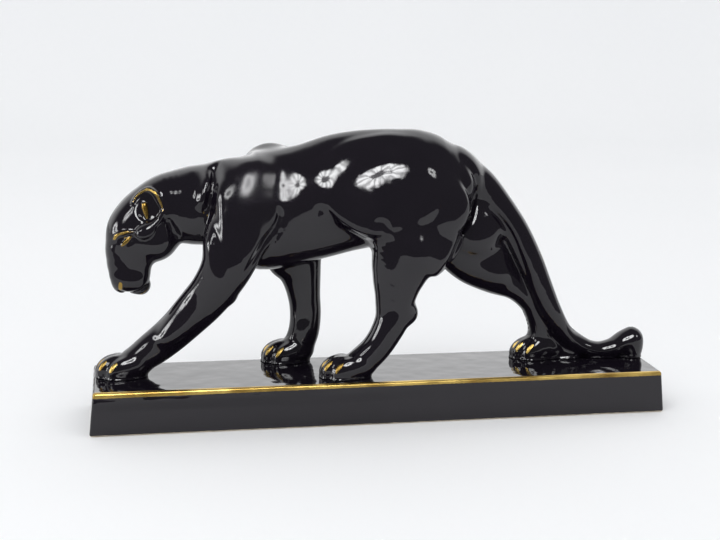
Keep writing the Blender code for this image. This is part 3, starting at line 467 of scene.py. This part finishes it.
def meet_plinth(clay):
    """Draw the glaze out into a thin flare where the figure meets the plinth, and trim it flat below."""
    z = clay.axes[2].reshape(1, 1, -1)
    low, flare, film = PLINTH_TOP - 0.35, 5.0, 0.1
    clay.field = smooth_min(clay.field, z - low, flare).astype(np.float32)
    clay.field = np.maximum(clay.field, low + film - z).astype(np.float32)


def hollow_out(clay):
    """Scoop out the torso, and cut the window, the bore for the leads and the two screw holes."""
    clay.cavity = np.full(clay.field.shape, FAR, np.float32)
    cuts, distance, _ = clay.limb_distance(CAVITY)
    clay.cavity[cuts] = distance
    clay.field = smooth_max(clay.field, -clay.cavity, 2.0)
    middle_x, middle_z, width, height, corner = WINDOW
    inner_y, outer_y = 14, 62      # the window is cut through the wall between these depths
    cuts, (x, y, z) = clay.window((middle_x - width / 2 - FAR, inner_y - 2, middle_z - height / 2 - FAR),
                                  (middle_x + width / 2 + FAR, outer_y, middle_z + height / 2 + FAR))
    dx, dz = np.abs(x - middle_x) - width / 2 + corner, np.abs(z - middle_z) - height / 2 + corner
    opening = np.hypot(np.maximum(dx, 0), np.maximum(dz, 0)) + np.minimum(np.maximum(dx, dz), 0) - corner
    opening = np.maximum(opening, inner_y - y)
    clay.field[cuts] = smooth_max(clay.field[cuts], -opening, 5.0)
    clay.carve(clay.tube_distance(BORE, [LEAD_BORE] * len(BORE)), 0.6)
    for z in SCREW_HEIGHTS:
        clay.carve(clay.tube_distance([(SCREW_X, 18, z), (SCREW_X, 40, z)], (SCREW_HOLE, SCREW_HOLE)), 0.4)


def gilding(points):
    """How deep each point lies inside the gilt strokes, in millimetres, negative outside."""
    outside = -3.0
    gilt = np.full(len(points), outside)

    def paint(path, radii, depth=None):
        """Gild along a line in space, or along an XZ line between two depths in Y."""
        rows = cord_rows(path, radii, 5)
        spots = points[:, [0, 2]] if len(path[0]) == 2 else points
        near = np.all((spots > rows[:, :-1].min(0) - 6) & (spots < rows[:, :-1].max(0) + 6), axis=1)
        if depth:
            near &= (points[:, 1] > depth[0]) & (points[:, 1] < depth[1])
        gilt[near] = np.maximum(gilt[near], -cord_distance(spots[near].T, rows))

    for path, radii in FACE_GILT:
        paint(path, radii, FACE_DEPTH)
    for paw in PAWS.values():
        for toe in toe_places(*paw):
            paint([np.add(toe, offset) for offset in CLAW], CLAW_RADII)
    paint(*TAIL_GILT)
    return gilt


def patches(points, rows):
    """The strength of soft oval patches at each point."""
    total = sum(strength * np.exp(-((points[:, 0] - x) / wide) ** 2 - ((points[:, 2] - z) / high) ** 2)
                for x, z, wide, high, strength in rows)
    return np.clip(total, 0, 1) * (points[:, 1] < NEAR_FLANK)


# ---- objects

def link_object(name, data):
    """A new object in the scene."""
    piece = bpy.data.objects.new(name, data)
    bpy.context.scene.collection.objects.link(piece)
    return piece


def pointed(place, direction, axis="Z"):
    """A matrix that moves to a place and turns an axis along a direction."""
    return Matrix.Translation(place) @ Vector(direction).to_track_quat(axis, "Y").to_matrix().to_4x4()


def box_mm(node):
    """A CAD node's two corners, in millimetres."""
    return [Vector(corner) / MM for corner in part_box(node)]


def stand_for(piece, node, body):
    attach(piece, body)
    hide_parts(node)


def mesh_piece(name, points, quads, material):
    mesh = bpy.data.meshes.new(name)
    mesh.from_pydata(points * MM, [], quads)
    mesh.validate()
    mesh.shade_smooth()
    mesh.materials.append(material)
    return link_object(name, mesh)


def paint_attribute(piece, name, values):
    attribute = piece.data.attributes.new(name, "FLOAT", "POINT")
    attribute.data.foreach_set("value", values.astype(np.float32))


def piece_from(name, bm, material=None):
    """An object from a mesh drawn in millimetres."""
    bmesh.ops.recalc_face_normals(bm, faces=bm.faces)
    mesh = bpy.data.meshes.new(name)
    bmesh.ops.scale(bm, vec=(MM, MM, MM), verts=bm.verts)
    bm.to_mesh(mesh)
    bm.free()
    mesh.shade_smooth()
    mesh.set_sharp_from_angle(angle=math.radians(35))
    if material:
        mesh.materials.append(material)
    return link_object(name, mesh)


def set_material(piece, material):
    """Give a cut piece one material, in place of what the cutter left."""
    piece.data.materials.clear()
    piece.data.materials.append(material)


def apply_modifiers(piece):
    depsgraph = bpy.context.evaluated_depsgraph_get()
    mesh = bpy.data.meshes.new_from_object(piece.evaluated_get(depsgraph))
    piece.modifiers.clear()
    piece.data = mesh


def cut(piece, cutter):
    modifier = piece.modifiers.new("cut", "BOOLEAN")
    modifier.operation = "DIFFERENCE"
    modifier.object = cutter
    apply_modifiers(piece)
    bpy.data.objects.remove(cutter)


def rod_cutter(start, end, radius):
    start, end = Vector(start), Vector(end)
    along = end - start
    bm = bmesh.new()
    bmesh.ops.create_cone(bm, cap_ends=True, segments=48, radius1=radius, radius2=radius, depth=along.length)
    bmesh.ops.transform(bm, matrix=pointed((start + end) / 2, along), verts=bm.verts)
    return piece_from("cutter", bm)


# ---- the plinth

def drafted_box(name, inset, low, high):
    """A box whose sides run parallel to the plinth's, inset from them."""
    bm = bmesh.new()
    bmesh.ops.create_cube(bm, size=2.0)
    for vert in bm.verts:
        vert.co.z = high if vert.co.z > 0 else low
        share = (vert.co.z - PLINTH_FOOT) / (PLINTH_TOP - PLINTH_FOOT)
        vert.co.x = math.copysign(PLINTH_LENGTH / 2 - inset - END_DRAFT * share, vert.co.x)
        vert.co.y = math.copysign(PLINTH_DEPTH / 2 - inset - SIDE_DRAFT * share, vert.co.y)
    return piece_from(name, bm)


def rear_normal():
    return Vector((0, PLINTH_TOP - PLINTH_FOOT, SIDE_DRAFT)).normalized()


def rear_wall_point(place, outward):
    """A point off the plinth's leaning rear wall, over its (x, z)."""
    x, z = place
    lean = SIDE_DRAFT * (z - PLINTH_FOOT) / (PLINTH_TOP - PLINTH_FOOT)
    return Vector((x, PLINTH_DEPTH / 2 - lean, z)) + rear_normal() * outward


def make_plinth(material):
    plinth = drafted_box("glazed_plinth", 0.0, PLINTH_FOOT, PLINTH_TOP)
    modifier = plinth.modifiers.new("rounding", "BEVEL")
    modifier.width = PLINTH_ROUNDING * MM
    modifier.segments = 7
    apply_modifiers(plinth)
    below, reach = -5.0, 20        # how far the cutters run past the faces
    cut(plinth, drafted_box("hollow", PLINTH_WALL, below, PLINTH_TOP - PLINTH_WALL))
    cut(plinth, drafted_box("rebate", PLINTH_WALL - REBATE_DEPTH, below, REBATE_TOP))
    cut(plinth, rod_cutter((*LEAD_PLACE, 22), (*LEAD_PLACE, 62), LEAD_BORE))
    for place, radius in ((CORD_PLACE, CORD_HOLE), (SWITCH_PLACE, SWITCH_HOLE)):
        cut(plinth, rod_cutter(rear_wall_point(place, -reach), rear_wall_point(place, reach), radius))
    set_material(plinth, material)
    plinth.data.shade_smooth()
    plinth.data.set_sharp_from_angle(angle=math.radians(30))
    modifier = plinth.modifiers.new("flat_sides", "WEIGHTED_NORMAL")
    modifier.weight = 100
    modifier.keep_sharp = True
    apply_modifiers(plinth)
    stand_for(plinth, "plinth", "lamp")


# ---- shader nodes

class Shading:
    """A material's or the world's nodes. The methods take sockets or constants, and return sockets."""

    def __init__(self, owner, shader="Principled BSDF"):
        owner.use_nodes = True
        self.owner, self.tree, self.shader = owner, owner.node_tree, owner.node_tree.nodes[shader]

    def put(self, value, socket):
        if hasattr(value, "is_linked"):
            self.tree.links.new(value, socket)
        else:
            socket.default_value = value

    def shade(self, **inputs):
        """Set the shader's inputs, named with _ for each space."""
        for name, value in inputs.items():
            self.put(value, self.shader.inputs[name.replace("_", " ")])

    def node(self, kind, output, *inputs, **settings):
        """Add a node with its settings and its (name, value) inputs, for one of its outputs."""
        node = self.tree.nodes.new("ShaderNode" + kind)
        for name, value in settings.items():
            setattr(node, name, value)
        for name, value in inputs:
            self.put(value, node.inputs[name])
        return node.outputs[output]

    def place(self):
        return self.node("TexCoord", "Object")

    def axis(self, name, vector=None):
        return self.node("SeparateXYZ", name, (0, vector or self.place()))

    def math(self, operation, *values):
        return self.node("Math", 0, *enumerate(values), operation=operation)

    def times(self, first, second):
        return self.math("MULTIPLY", first, second)

    def ramp(self, value, start, end, low=0.0, high=1.0):
        return self.node("MapRange", 0, ("Value", value), ("From Min", start), ("From Max", end),
                         ("To Min", low), ("To Max", high), interpolation_type="SMOOTHSTEP")

    def dot(self, vector, axis):
        return self.node("VectorMath", "Value", (0, vector), (1, axis), operation="DOT_PRODUCT")

    def noise(self, vector, scale, detail=2.0, roughness=0.5):
        return self.node("TexNoise", "Fac", ("Vector", vector), ("Scale", scale), ("Detail", detail),
                         ("Roughness", roughness))

    def bump(self, height, distance, *normal):
        return self.node("Bump", "Normal", ("Height", height), ("Distance", distance), ("Strength", 1.0),
                         *(("Normal", n) for n in normal))

    def mix(self, factor, first, second):
        """A colour between two, each a socket or red, green and blue."""
        first, second = ((*c, 1) if isinstance(c, tuple) else c for c in (first, second))
        return self.node("Mix", "Result", ("Factor", factor), ("A", first), ("B", second), data_type="RGBA")

    def mapped(self, vector, **inputs):
        return self.node("Mapping", 0, ("Vector", vector), *inputs.items())


def new_material(name):
    return Shading(bpy.data.materials.new(name))


# ---- the glaze

def black_glaze(name, gilt=None, bare=None, wrinkle=None, haze=None, wrinkle_stretch=(1.0, 1.0, 1.0)):
    """Glossy black glaze with a faint wave. Each mask is a function that adds its socket to the nodes."""
    s = new_material(name)
    place = s.place()
    wave, ripple, peel = (s.noise(place, scale, 1.0) for scale in (45.0, 160.0, 900.0))
    tone = s.noise(place, 25.0, 3.0)
    normal = s.bump(peel, 0.000006, s.bump(ripple, 0.00005, s.bump(wave, 0.0005)))
    if wrinkle:
        crease = s.noise(s.mapped(place, Scale=wrinkle_stretch), 75.0, 1.5)
        normal = s.bump(s.times(crease, wrinkle(s)), 0.0007, normal)
    colour = s.mix(tone, (0.0046, 0.0034, 0.0066), (0.0084, 0.0064, 0.0104))
    roughness = s.ramp(tone, 0.3, 0.7, 0.035, 0.06)
    if haze:
        roughness = s.math("MULTIPLY_ADD", haze(s), 0.2, roughness)
    if bare:
        # unglazed cream earthenware
        mask = s.ramp(s.math("ADD", bare(s), s.times(ripple, 0.8)), 0.3, 0.6)
        colour = s.mix(mask, colour, s.mix(tone, (0.62, 0.53, 0.40), (0.74, 0.66, 0.53)))
        roughness = s.math("ADD", roughness, s.times(mask, 0.65))
    if gilt:
        # thin lustre, worn where the noise bites into its edges
        wear = s.math("MULTIPLY_ADD", s.noise(place, 700.0, 4.0, 0.65), 1.6, -0.95)
        metallic = s.ramp(s.math("ADD", gilt(s), wear), -0.12, 0.18)
        gold = s.mix(s.ramp(tone, 0.35, 0.65), (0.24, 0.15, 0.035), (0.58, 0.41, 0.12))
        colour = s.mix(metallic, colour, gold)
        roughness = s.math("MULTIPLY_ADD", metallic, 0.27, roughness)
        s.shade(Metallic=metallic)
    s.shade(Base_Color=colour, Roughness=roughness, Normal=normal, IOR=1.5)
    return s.owner


def attribute_mask(name):
    return lambda s: s.node("Attribute", "Fac", attribute_name=name)


def plinth_gilt(s):
    """Distance inside the gilt line along the near top edge, in millimetres."""
    near = s.math("MULTIPLY_ADD", s.axis("Y"), -1000.0, -(PLINTH_DEPTH / 2 - SIDE_DRAFT - 3.0))
    width = s.ramp(s.axis("X"), -0.28, 0.05, 5.2, 3.9)
    high = s.math("MULTIPLY_ADD", s.axis("Z"), 1000.0, -PLINTH_TOP)
    return s.math("MINIMUM", near, s.math("ADD", high, width))


def plinth_crawl(s):
    """Where the glaze ran in streaks: on the faces just below the top, towards the figure's head."""
    top, height = PLINTH_TOP * MM, s.axis("Z")
    left = s.ramp(s.axis("X"), -0.16, 0.10, 1.0, 0.2)
    below = s.ramp(height, top - 0.019, top - 0.008, 0.05, 3.6)
    return s.times(s.times(left, below), s.ramp(height, top - 0.0008, top - 0.0001, 1.0, 0.0))


def plinth_bare(s):
    """Distance below the glaze line at the foot rim, in millimetres."""
    return s.math("MULTIPLY_ADD", s.axis("Z"), -1000.0, 1.4)


# ---- the lamp's fittings: finer pieces in place of the CAD's turned ones

def turned(name, profile, start, direction, material, sides=72, relief=None):
    """A body turned from (distance, radius) points; relief(distance, angle) is added to the radius."""
    bm = bmesh.new()
    rings = []
    for distance, radius in profile:
        if radius == 0:
            rings.append([bm.verts.new((0, 0, distance))])
            continue
        ring = []
        for k in range(sides):
            angle = 2 * math.pi * k / sides
            reach = radius + (relief(distance, angle) if relief else 0.0)
            ring.append(bm.verts.new((reach * math.cos(angle), reach * math.sin(angle), distance)))
        rings.append(ring)
    if profile[0][1] != 0:
        rings.append(rings[0])
    for one, two in zip(rings, rings[1:]):
        for k in range(max(len(one), len(two)) if len(one) + len(two) > 2 else 0):
            n = (k + 1) % sides
            if len(one) == 1:
                bm.faces.new((one[0], two[k], two[n]))
            elif len(two) == 1:
                bm.faces.new((one[k], two[0], one[n]))
            else:
                bm.faces.new((one[k], two[k], two[n], one[n]))
    bmesh.ops.transform(bm, matrix=pointed(start, direction), verts=bm.verts)
    return piece_from(name, bm, material)


def rounded(profile, radius, steps=4):
    """A turned profile with its corners rounded off, except where it meets the axis."""
    result = []
    for k, point in enumerate(profile):
        before, after = profile[k - 1], profile[(k + 1) % len(profile)]
        if point[1] == 0 or (k in (0, len(profile) - 1) and profile[0][1] == 0):
            result.append(point)
            continue
        point = Vector(point)
        legs = [Vector(q) - point for q in (before, after)]
        reach = min(radius, 0.45 * min(leg.length for leg in legs))
        one, two = (point + leg.normalized() * reach for leg in legs)
        for s in range(steps + 1):
            t = s / steps
            result.append(tuple(one * (1 - t) ** 2 + point * 2 * t * (1 - t) + two * t * t))
    return result


def fit_turned(name, node, body, slot, finish, profile, start, direction, sides=72, relief=None):
    stand_for(turned(name, profile, start, direction, finish[slot], sides, relief), node, body)


def make_bulb(finish):
    """The tubular bulb, from its cap towards -X: threaded cap, glass and coiled filament."""
    low, high = box_mm("bulb_cap")
    middle = (low + high) / 2
    toward = (-1, 0, 0)
    pitch, thread_end, wall = 2.82, 14.4, 0.8
    thread = [(0.0, 5.4)] + [(0.1 + 0.28 * k, 6.45) for k in range(52)]
    shell = thread + [(15.6, 6.75), (17.8, 6.75), (17.8, 6.3), (14.8, 5.8)]

    def helix(distance, angle):
        return 0.27 * math.sin(2 * math.pi * distance / pitch - angle) if 0 < distance < thread_end else 0.0

    fit_turned("threaded_cap", "bulb_cap", "bulb", "nickel", finish, shell, (high.x, middle.y, middle.z),
               toward, 64, helix)
    low, high = box_mm("bulb_glass")
    length, radius = high.x - low.x, (high.z - low.z) / 2
    shoulder = smooth_points([(0.0, 5.2), (1.9, 5.5), (4.0, 6.2), (6.5, 9.0), (9.0, 11.6), (12.0, radius)], 5)
    side = shoulder + [(length - radius + radius * math.sin(t), radius * math.cos(t))
                       for t in np.linspace(0, math.pi / 2, 14)[:-1]]
    inner = [(d, max(r - wall, 0.0)) for d, r in side] + [(length - wall, 0)]
    fit_turned("glass_envelope", "bulb_glass", "bulb", "bulb_glass", finish,
               [(length, 0)] + side[::-1] + inner, (high.x, middle.y, middle.z), toward)
    make_filament(finish["tungsten"])


def make_filament(material):
    """A coiled wire that zigzags between its two supports."""
    low, high = box_mm("bulb_filament")
    legs, inset, turns, coil_radius, wire_radius = 8, 0.5, 10, 0.28, 0.09
    middle_y = Vector((0, (low.y + high.y) / 2, 0))
    corners = []
    for k in range(legs + 1):
        x = low.x + inset if k % 2 else high.x - inset
        corners.append(Vector((x, 0.0, high.z - inset - (high.z - low.z - 2 * inset) * k / legs)))
    points = []
    depth = Vector((0, 1, 0))
    for one, two in zip(corners, corners[1:]):
        side = (two - one).cross(depth).normalized()
        for s in range(turns * 8):
            angle = 2 * math.pi * s / 8
            offset = side * math.cos(angle) + depth * math.sin(angle)
            points.append(one.lerp(two, s / (turns * 8)) + offset * coil_radius + middle_y)
    curve = bpy.data.curves.new("filament_path", "CURVE")
    curve.dimensions = "3D"
    curve.bevel_depth = wire_radius * MM
    curve.bevel_resolution = 1
    curve.use_fill_caps = True
    spline = curve.splines.new("POLY")
    spline.points.add(len(points) - 1)
    for place, point in zip(spline.points, points):
        place.co = (*(point * MM), 1)
    guide = link_object("filament_path", curve)
    mesh = bpy.data.meshes.new_from_object(guide.evaluated_get(bpy.context.evaluated_depsgraph_get()))
    bpy.data.objects.remove(guide)
    mesh.shade_smooth()
    coil = link_object("coiled_filament", mesh)
    set_material(coil, material)
    stand_for(coil, "bulb_filament", "bulb")


def make_holder(finish):
    """The moulded cap and skirt of the lampholder, with gripping ribs."""
    low, high = box_mm("holder_cap")
    middle = (low + high) / 2
    face, toward = (high.x, middle.y, middle.z), (-1, 0, 0)
    cap = rounded([(0, 5.2), (0, 10.5), (1.5, 12.5), (4.0, 13.4), (12.4, 13.4), (12.4, 11.6), (3.4, 11.6),
                   (3.4, 5.2)], 0.6)
    fit_turned("moulded_cap", "holder_cap", "lamp", "bakelite", finish, cap, face, toward)
    skirt = [(12.9, 10.9), (12.9, 13.2)] + [(13.4 + 1.2 * k, 13.35 - 0.03 * k) for k in range(11)]
    skirt += [(27.0, 13.0), (35.0, 12.2), (35.0, 10.4), (27.0, 11.0)]

    def ribs(distance, angle):
        return -0.35 * (0.5 + 0.5 * math.cos(36 * angle)) if 14.0 < distance < 25.0 else 0.0

    fit_turned("ribbed_skirt", "holder_skirt", "lamp", "bakelite", finish, skirt, face, toward, 216, ribs)


def make_knob(finish):
    """The switch's fluted knob, with a turned groove round its face."""
    profile = rounded([(0, 2.6), (0, 7.4), (1.2, 8.3), (7.6, 7.9), (9.3, 6.6), (9.5, 4.2), (9.1, 3.9),
                       (9.1, 3.3), (9.6, 3.0), (9.8, 0)], 0.35, 3) + [(6.2, 0), (6.2, 2.6)]

    def flutes(distance, angle):
        return -0.6 * max(0.0, math.cos(20 * angle)) ** 2 if 1.0 < distance < 8.6 else 0.0

    fit_turned("fluted_knob", "switch_knob", "switch_control", "bakelite", finish, profile,
               rear_wall_point(SWITCH_PLACE, 4.3), rear_normal(), 200, flutes)


def make_grommet(finish):
    """A rubber ring that grips the rear wall round the cord's hole."""
    wall = PLINTH_WALL
    ring = rounded([(-2.6, 3.9), (-2.6, 7.8), (-0.4, 8.2), (-0.4, 5.9), (wall + 0.4, 5.9), (wall + 0.4, 8.2),
                    (wall + 2.0, 8.0), (wall + 3.2, 6.6), (wall + 3.4, 3.9)], 0.6)
    fit_turned("rubber_grommet", "cord_grommet", "lamp", "rubber", finish, ring,
               rear_wall_point(CORD_PLACE, -wall), rear_normal())


def make_bracket_screws(finish):
    """Slotted pan-head screws in place of the plain ones."""
    for k in (1, 2):
        node = f"bracket_screw_{k}"
        low, high = box_mm(node)
        x, z = (low.x + high.x) / 2, (low.z + high.z) / 2
        length = high.y - low.y
        under = length - 2.3
        profile = [(0, 0), (0, 1.2)] + [(0.3 + 0.12 * s, 1.4 - 0.16 * (s % 3)) for s in range(1, 50)]
        profile += [(under, 1.4), (under, 2.6), (under + 0.9, 2.85), (under + 1.7, 2.45), (under + 2.15, 1.5),
                    (length, 0)]
        screw = turned(f"slotted_screw_{k}", profile, (x, low.y, z), (0, 1, 0), finish["brass"], 48)
        bm = bmesh.new()
        bmesh.ops.create_cube(bm, size=1.0)
        bmesh.ops.scale(bm, vec=(0.6, 1.6, 8.0), verts=bm.verts)
        bmesh.ops.rotate(bm, cent=(0, 0, 0), matrix=Matrix.Rotation(0.5 + 0.9 * k, 3, "Y"), verts=bm.verts)
        bmesh.ops.translate(bm, vec=(x, high.y, z), verts=bm.verts)
        cut(screw, piece_from("slot", bm))
        set_material(screw, finish["brass"])
        stand_for(screw, node, "lamp")


# ---- finishes of the fittings

def two_tone(name, dark, light, scale, roughness, grain, detail=4.0, metallic=0.0, stretch=None):
    """A surface with mottled colour and roughness and a fine bump; the base of most fittings' finishes."""
    s = new_material(name)
    place = s.mapped(s.place(), Scale=stretch) if stretch else s.place()
    mottle = s.noise(place, scale, detail)
    fine = s.noise(place, scale * 7, 3.0, 0.6)
    s.shade(Base_Color=s.mix(s.ramp(mottle, 0.3, 0.7), dark, light), Metallic=metallic,
            Roughness=s.ramp(fine, 0.3, 0.7, *roughness), Normal=s.bump(fine, grain))
    return s


def felt():
    s = two_tone("wool_felt", (0.016, 0.040, 0.026), (0.035, 0.078, 0.050), 240.0, (0.92, 1.0), 0.0004, 6.0)
    s.shade(Sheen_Weight=0.6, Sheen_Roughness=0.5)
    return s


def bakelite():
    """Brown moulded resin with cloudy swirls."""
    s = two_tone("brown_bakelite", (0.030, 0.014, 0.009), (0.075, 0.032, 0.018), 70.0, (0.22, 0.34),
                 0.00002, 5.0, stretch=(1.0, 1.0, 2.2))
    s.shade(Coat_Weight=0.3, Coat_Roughness=0.12)
    return s


def braided_sleeve():
    """Woven cotton over rubber: two sets of slanting threads."""
    s = new_material("braided_sleeve")
    place = s.place()
    weave = s.math("MAXIMUM", *(s.node(
        "TexWave", "Fac", ("Vector", s.mapped(place, Rotation=(turn, 0.0, turn))), ("Scale", 420.0),
        ("Distortion", 1.0)) for turn in (0.7, -0.7)))
    soil = s.ramp(s.noise(place, 90.0, 4.0), 0.4, 0.8, 0.0, 0.6)
    colour = s.mix(weave, (0.10, 0.06, 0.03), (0.40, 0.29, 0.15))
    s.shade(Base_Color=s.mix(soil, colour, (0.12, 0.09, 0.06)), Normal=s.bump(weave, 0.0003), Roughness=0.85)
    return s


def clear_glass():
    s = new_material("clear_glass")
    waves = s.noise(s.place(), 60.0, 1.0)
    s.shade(Base_Color=s.mix(waves, (0.93, 0.96, 0.97), (0.97, 0.99, 1.0)), Normal=s.bump(waves, 0.0001),
            Roughness=s.ramp(waves, 0.3, 0.7, 0.01, 0.03), Transmission_Weight=1.0, IOR=1.45)
    return s


# two_tone's values, by record slot
PLAIN_FINISHES = {
    "fibreboard": ("pressed_board", (0.13, 0.080, 0.046), (0.25, 0.165, 0.10), 300.0, (0.75, 0.95), 0.0002, 8.0),
    "zinc_steel": ("zinc_plate", (0.50, 0.51, 0.52), (0.68, 0.68, 0.66), 160.0, (0.28, 0.45), 1e-5, 2.0, 1.0),
    "brass": ("aged_brass", (0.42, 0.27, 0.10), (0.78, 0.58, 0.27), 220.0, (0.22, 0.42), 1e-5, 5.0, 1.0),
    "nickel": ("nickel_plate", (0.56, 0.54, 0.50), (0.74, 0.72, 0.68), 260.0, (0.18, 0.34), 6e-6, 3.0, 1.0),
    "solder": ("dull_solder", (0.42, 0.42, 0.42), (0.62, 0.62, 0.61), 500.0, (0.38, 0.6), 3e-5, 3.0, 1.0),
    "black_glass": ("black_glass_bead", (0.010, 0.010, 0.012), (0.030, 0.028, 0.026), 400.0, (0.06, 0.14), 1e-5),
    "porcelain": ("white_porcelain", (0.70, 0.67, 0.60), (0.84, 0.82, 0.77), 180.0, (0.14, 0.26), 2e-5),
    "tungsten": ("drawn_tungsten", (0.24, 0.24, 0.23), (0.40, 0.39, 0.38), 900.0, (0.35, 0.5), 5e-6, 2.0, 1.0),
    "rubber": ("black_rubber", (0.012, 0.012, 0.012), (0.034, 0.033, 0.031), 260.0, (0.6, 0.85), 5e-5),
}


def make_finishes():
    """Every record slot but the glaze's, by name."""
    shadings = {slot: two_tone(*values) for slot, values in PLAIN_FINISHES.items()}
    shadings.update(green_felt=felt(), bakelite=bakelite(), bulb_glass=clear_glass(),
                    lead_sleeve=braided_sleeve())
    return {slot: s.owner for slot, s in shadings.items()}


def dress_frame(finish):
    """Give each CAD node that is shown the finish of its record slot."""
    for subpart in frame["record"]["subparts"]:
        slot = subpart["material_slot"]
        if slot in finish:
            for place in frame["nodes"][subpart["node"]].material_slots:
                place.material = finish[slot]


# ---- stage, camera, light

def toward_angles(azimuth, elevation):
    """The direction at angles in degrees, to the right of the lamp's front and up."""
    az, el = math.radians(azimuth), math.radians(elevation)
    return Vector((math.sin(az) * math.cos(el), -math.cos(az) * math.cos(el), math.sin(el)))


def make_stage():
    """A pale sweep: flat under the lamp, curving up far behind it."""
    curve = [(SWEEP_FRONT, 0.0), (SWEEP_FLAT, 0.0)]
    curve += [(SWEEP_FLAT + SWEEP_CURVE * math.sin(t), SWEEP_CURVE * (1 - math.cos(t)))
              for t in np.radians(np.arange(5, 91, 5))]
    curve.append((SWEEP_FLAT + SWEEP_CURVE, SWEEP_RISE))
    bm = bmesh.new()
    left, right = ([bm.verts.new((x, y, z)) for y, z in curve] for x in (-SWEEP_HALF_WIDTH, SWEEP_HALF_WIDTH))
    for k in range(len(curve) - 1):
        bm.faces.new((left[k], right[k], right[k + 1], left[k + 1]))
    mesh = bpy.data.meshes.new("sweep")
    bm.to_mesh(mesh)
    bm.free()
    mesh.shade_smooth()
    sweep = link_object("sweep", mesh)
    s = new_material("sweep_paper")
    fibre = s.noise(s.place(), 3.0)
    s.shade(Base_Color=s.mix(fibre, (0.915, 0.925, 0.935), (0.935, 0.94, 0.95)), Roughness=0.9,
            Specular_IOR_Level=0.1)
    mesh.materials.append(s.owner)


def make_camera():
    back = toward_angles(CAMERA_AZIMUTH, CAMERA_ELEVATION)
    place = (Vector(CAMERA_TARGET) + back * CAMERA_DISTANCE) * MM
    data = bpy.data.cameras.new("camera")
    data.lens = CAMERA_LENS
    data.sensor_width = 36.0
    camera = link_object("camera", data)
    camera.matrix_world = pointed(place, -back, "-Z") @ Matrix.Rotation(math.radians(CAMERA_ROLL), 4, "Z")
    bpy.context.scene.camera = camera


def make_key_light():
    """A soft light from above, which the glaze doesn't mirror."""
    data = bpy.data.lights.new("key", "AREA")
    data.size = 1.0
    data.energy = 9.0
    light = link_object("key", data)
    place, target = Vector((-0.8, -1.0, 1.9)), Vector((0, 0, 0.1))
    light.matrix_world = pointed(place, target - place, "-Z")
    light.visible_glossy = False


def make_world():
    """A pale studio. The glaze mirrors a bright sweep behind, a dim room in front and umbrella lamps."""
    world = bpy.data.worlds.new("studio")
    bpy.context.scene.world = world
    s = Shading(world, "Background")
    direction = s.node("TexCoord", "Generated")
    behind = s.ramp(s.axis("Y", direction), *SWEEP_EDGE)
    low = s.ramp(s.axis("Z", direction), *SWEEP_TOP, 1.0, 0.0)
    light = s.math("ADD", s.times(s.times(behind, low), SWEEP_LIGHT), ROOM_LIGHT)
    for azimuth, elevation, radius, softness, strength in UMBRELLAS:
        middle = toward_angles(azimuth, elevation)
        across = middle.cross(Vector((0, 0, 1))).normalized()
        aim, right, up = (s.dot(direction, axis) for axis in (middle, across, across.cross(middle)))
        # cosines of the angles where the disc starts and is full, then where its dark head starts and is full
        shares = (1.0, 1 - softness, 0.42, 0.22)
        rim, full, head, dark = (math.cos(math.radians(radius * share)) for share in shares)
        disc = s.times(s.ramp(aim, rim, full, 0.0, strength), s.ramp(aim, head, dark, 1.0, LAMP_HEAD))
        turn = s.times(s.math("ARCTAN2", up, right), UMBRELLA_RIBS)
        ribs = s.math("MULTIPLY_ADD", s.math("COSINE", turn), 0.35, 0.85)
        light = s.math("MULTIPLY_ADD", disc, ribs, light)
    glossy = s.node("LightPath", "Is Glossy Ray")
    plain = s.times(s.math("SUBTRACT", 1.0, glossy), ROOM_FILL)
    s.shade(Strength=s.math("ADD", s.times(light, glossy), plain), Color=(0.985, 0.99, 1.0, 1))


def main():
    bpy.context.scene.view_settings.view_transform = "Standard"
    make_camera()
    make_stage()
    make_world()
    make_key_light()
    clay = model_figure()
    points, quads = clay.surface()
    masks = {"gilt": gilding(points), "bare": 1.5 - clay.sample(clay.cavity, points),
             "wrinkle": patches(points, WRINKLES), "haze": patches(points, HAZE)}
    glaze = black_glaze("figure_glaze", **{mask: attribute_mask(mask) for mask in masks})
    figure = mesh_piece("glazed_panther", points, quads, glaze)
    for mask, values in masks.items():
        paint_attribute(figure, mask, values)
    stand_for(figure, "panther_figure", "lamp")
    make_plinth(black_glaze("plinth_glaze", plinth_gilt, plinth_bare, plinth_crawl,
                            wrinkle_stretch=(0.16, 1.0, 1.0)))
    finish = make_finishes()
    dress_frame(finish)
    make_bulb(finish)
    make_holder(finish)
    make_knob(finish)
    make_grommet(finish)
    make_bracket_screws(finish)


main()
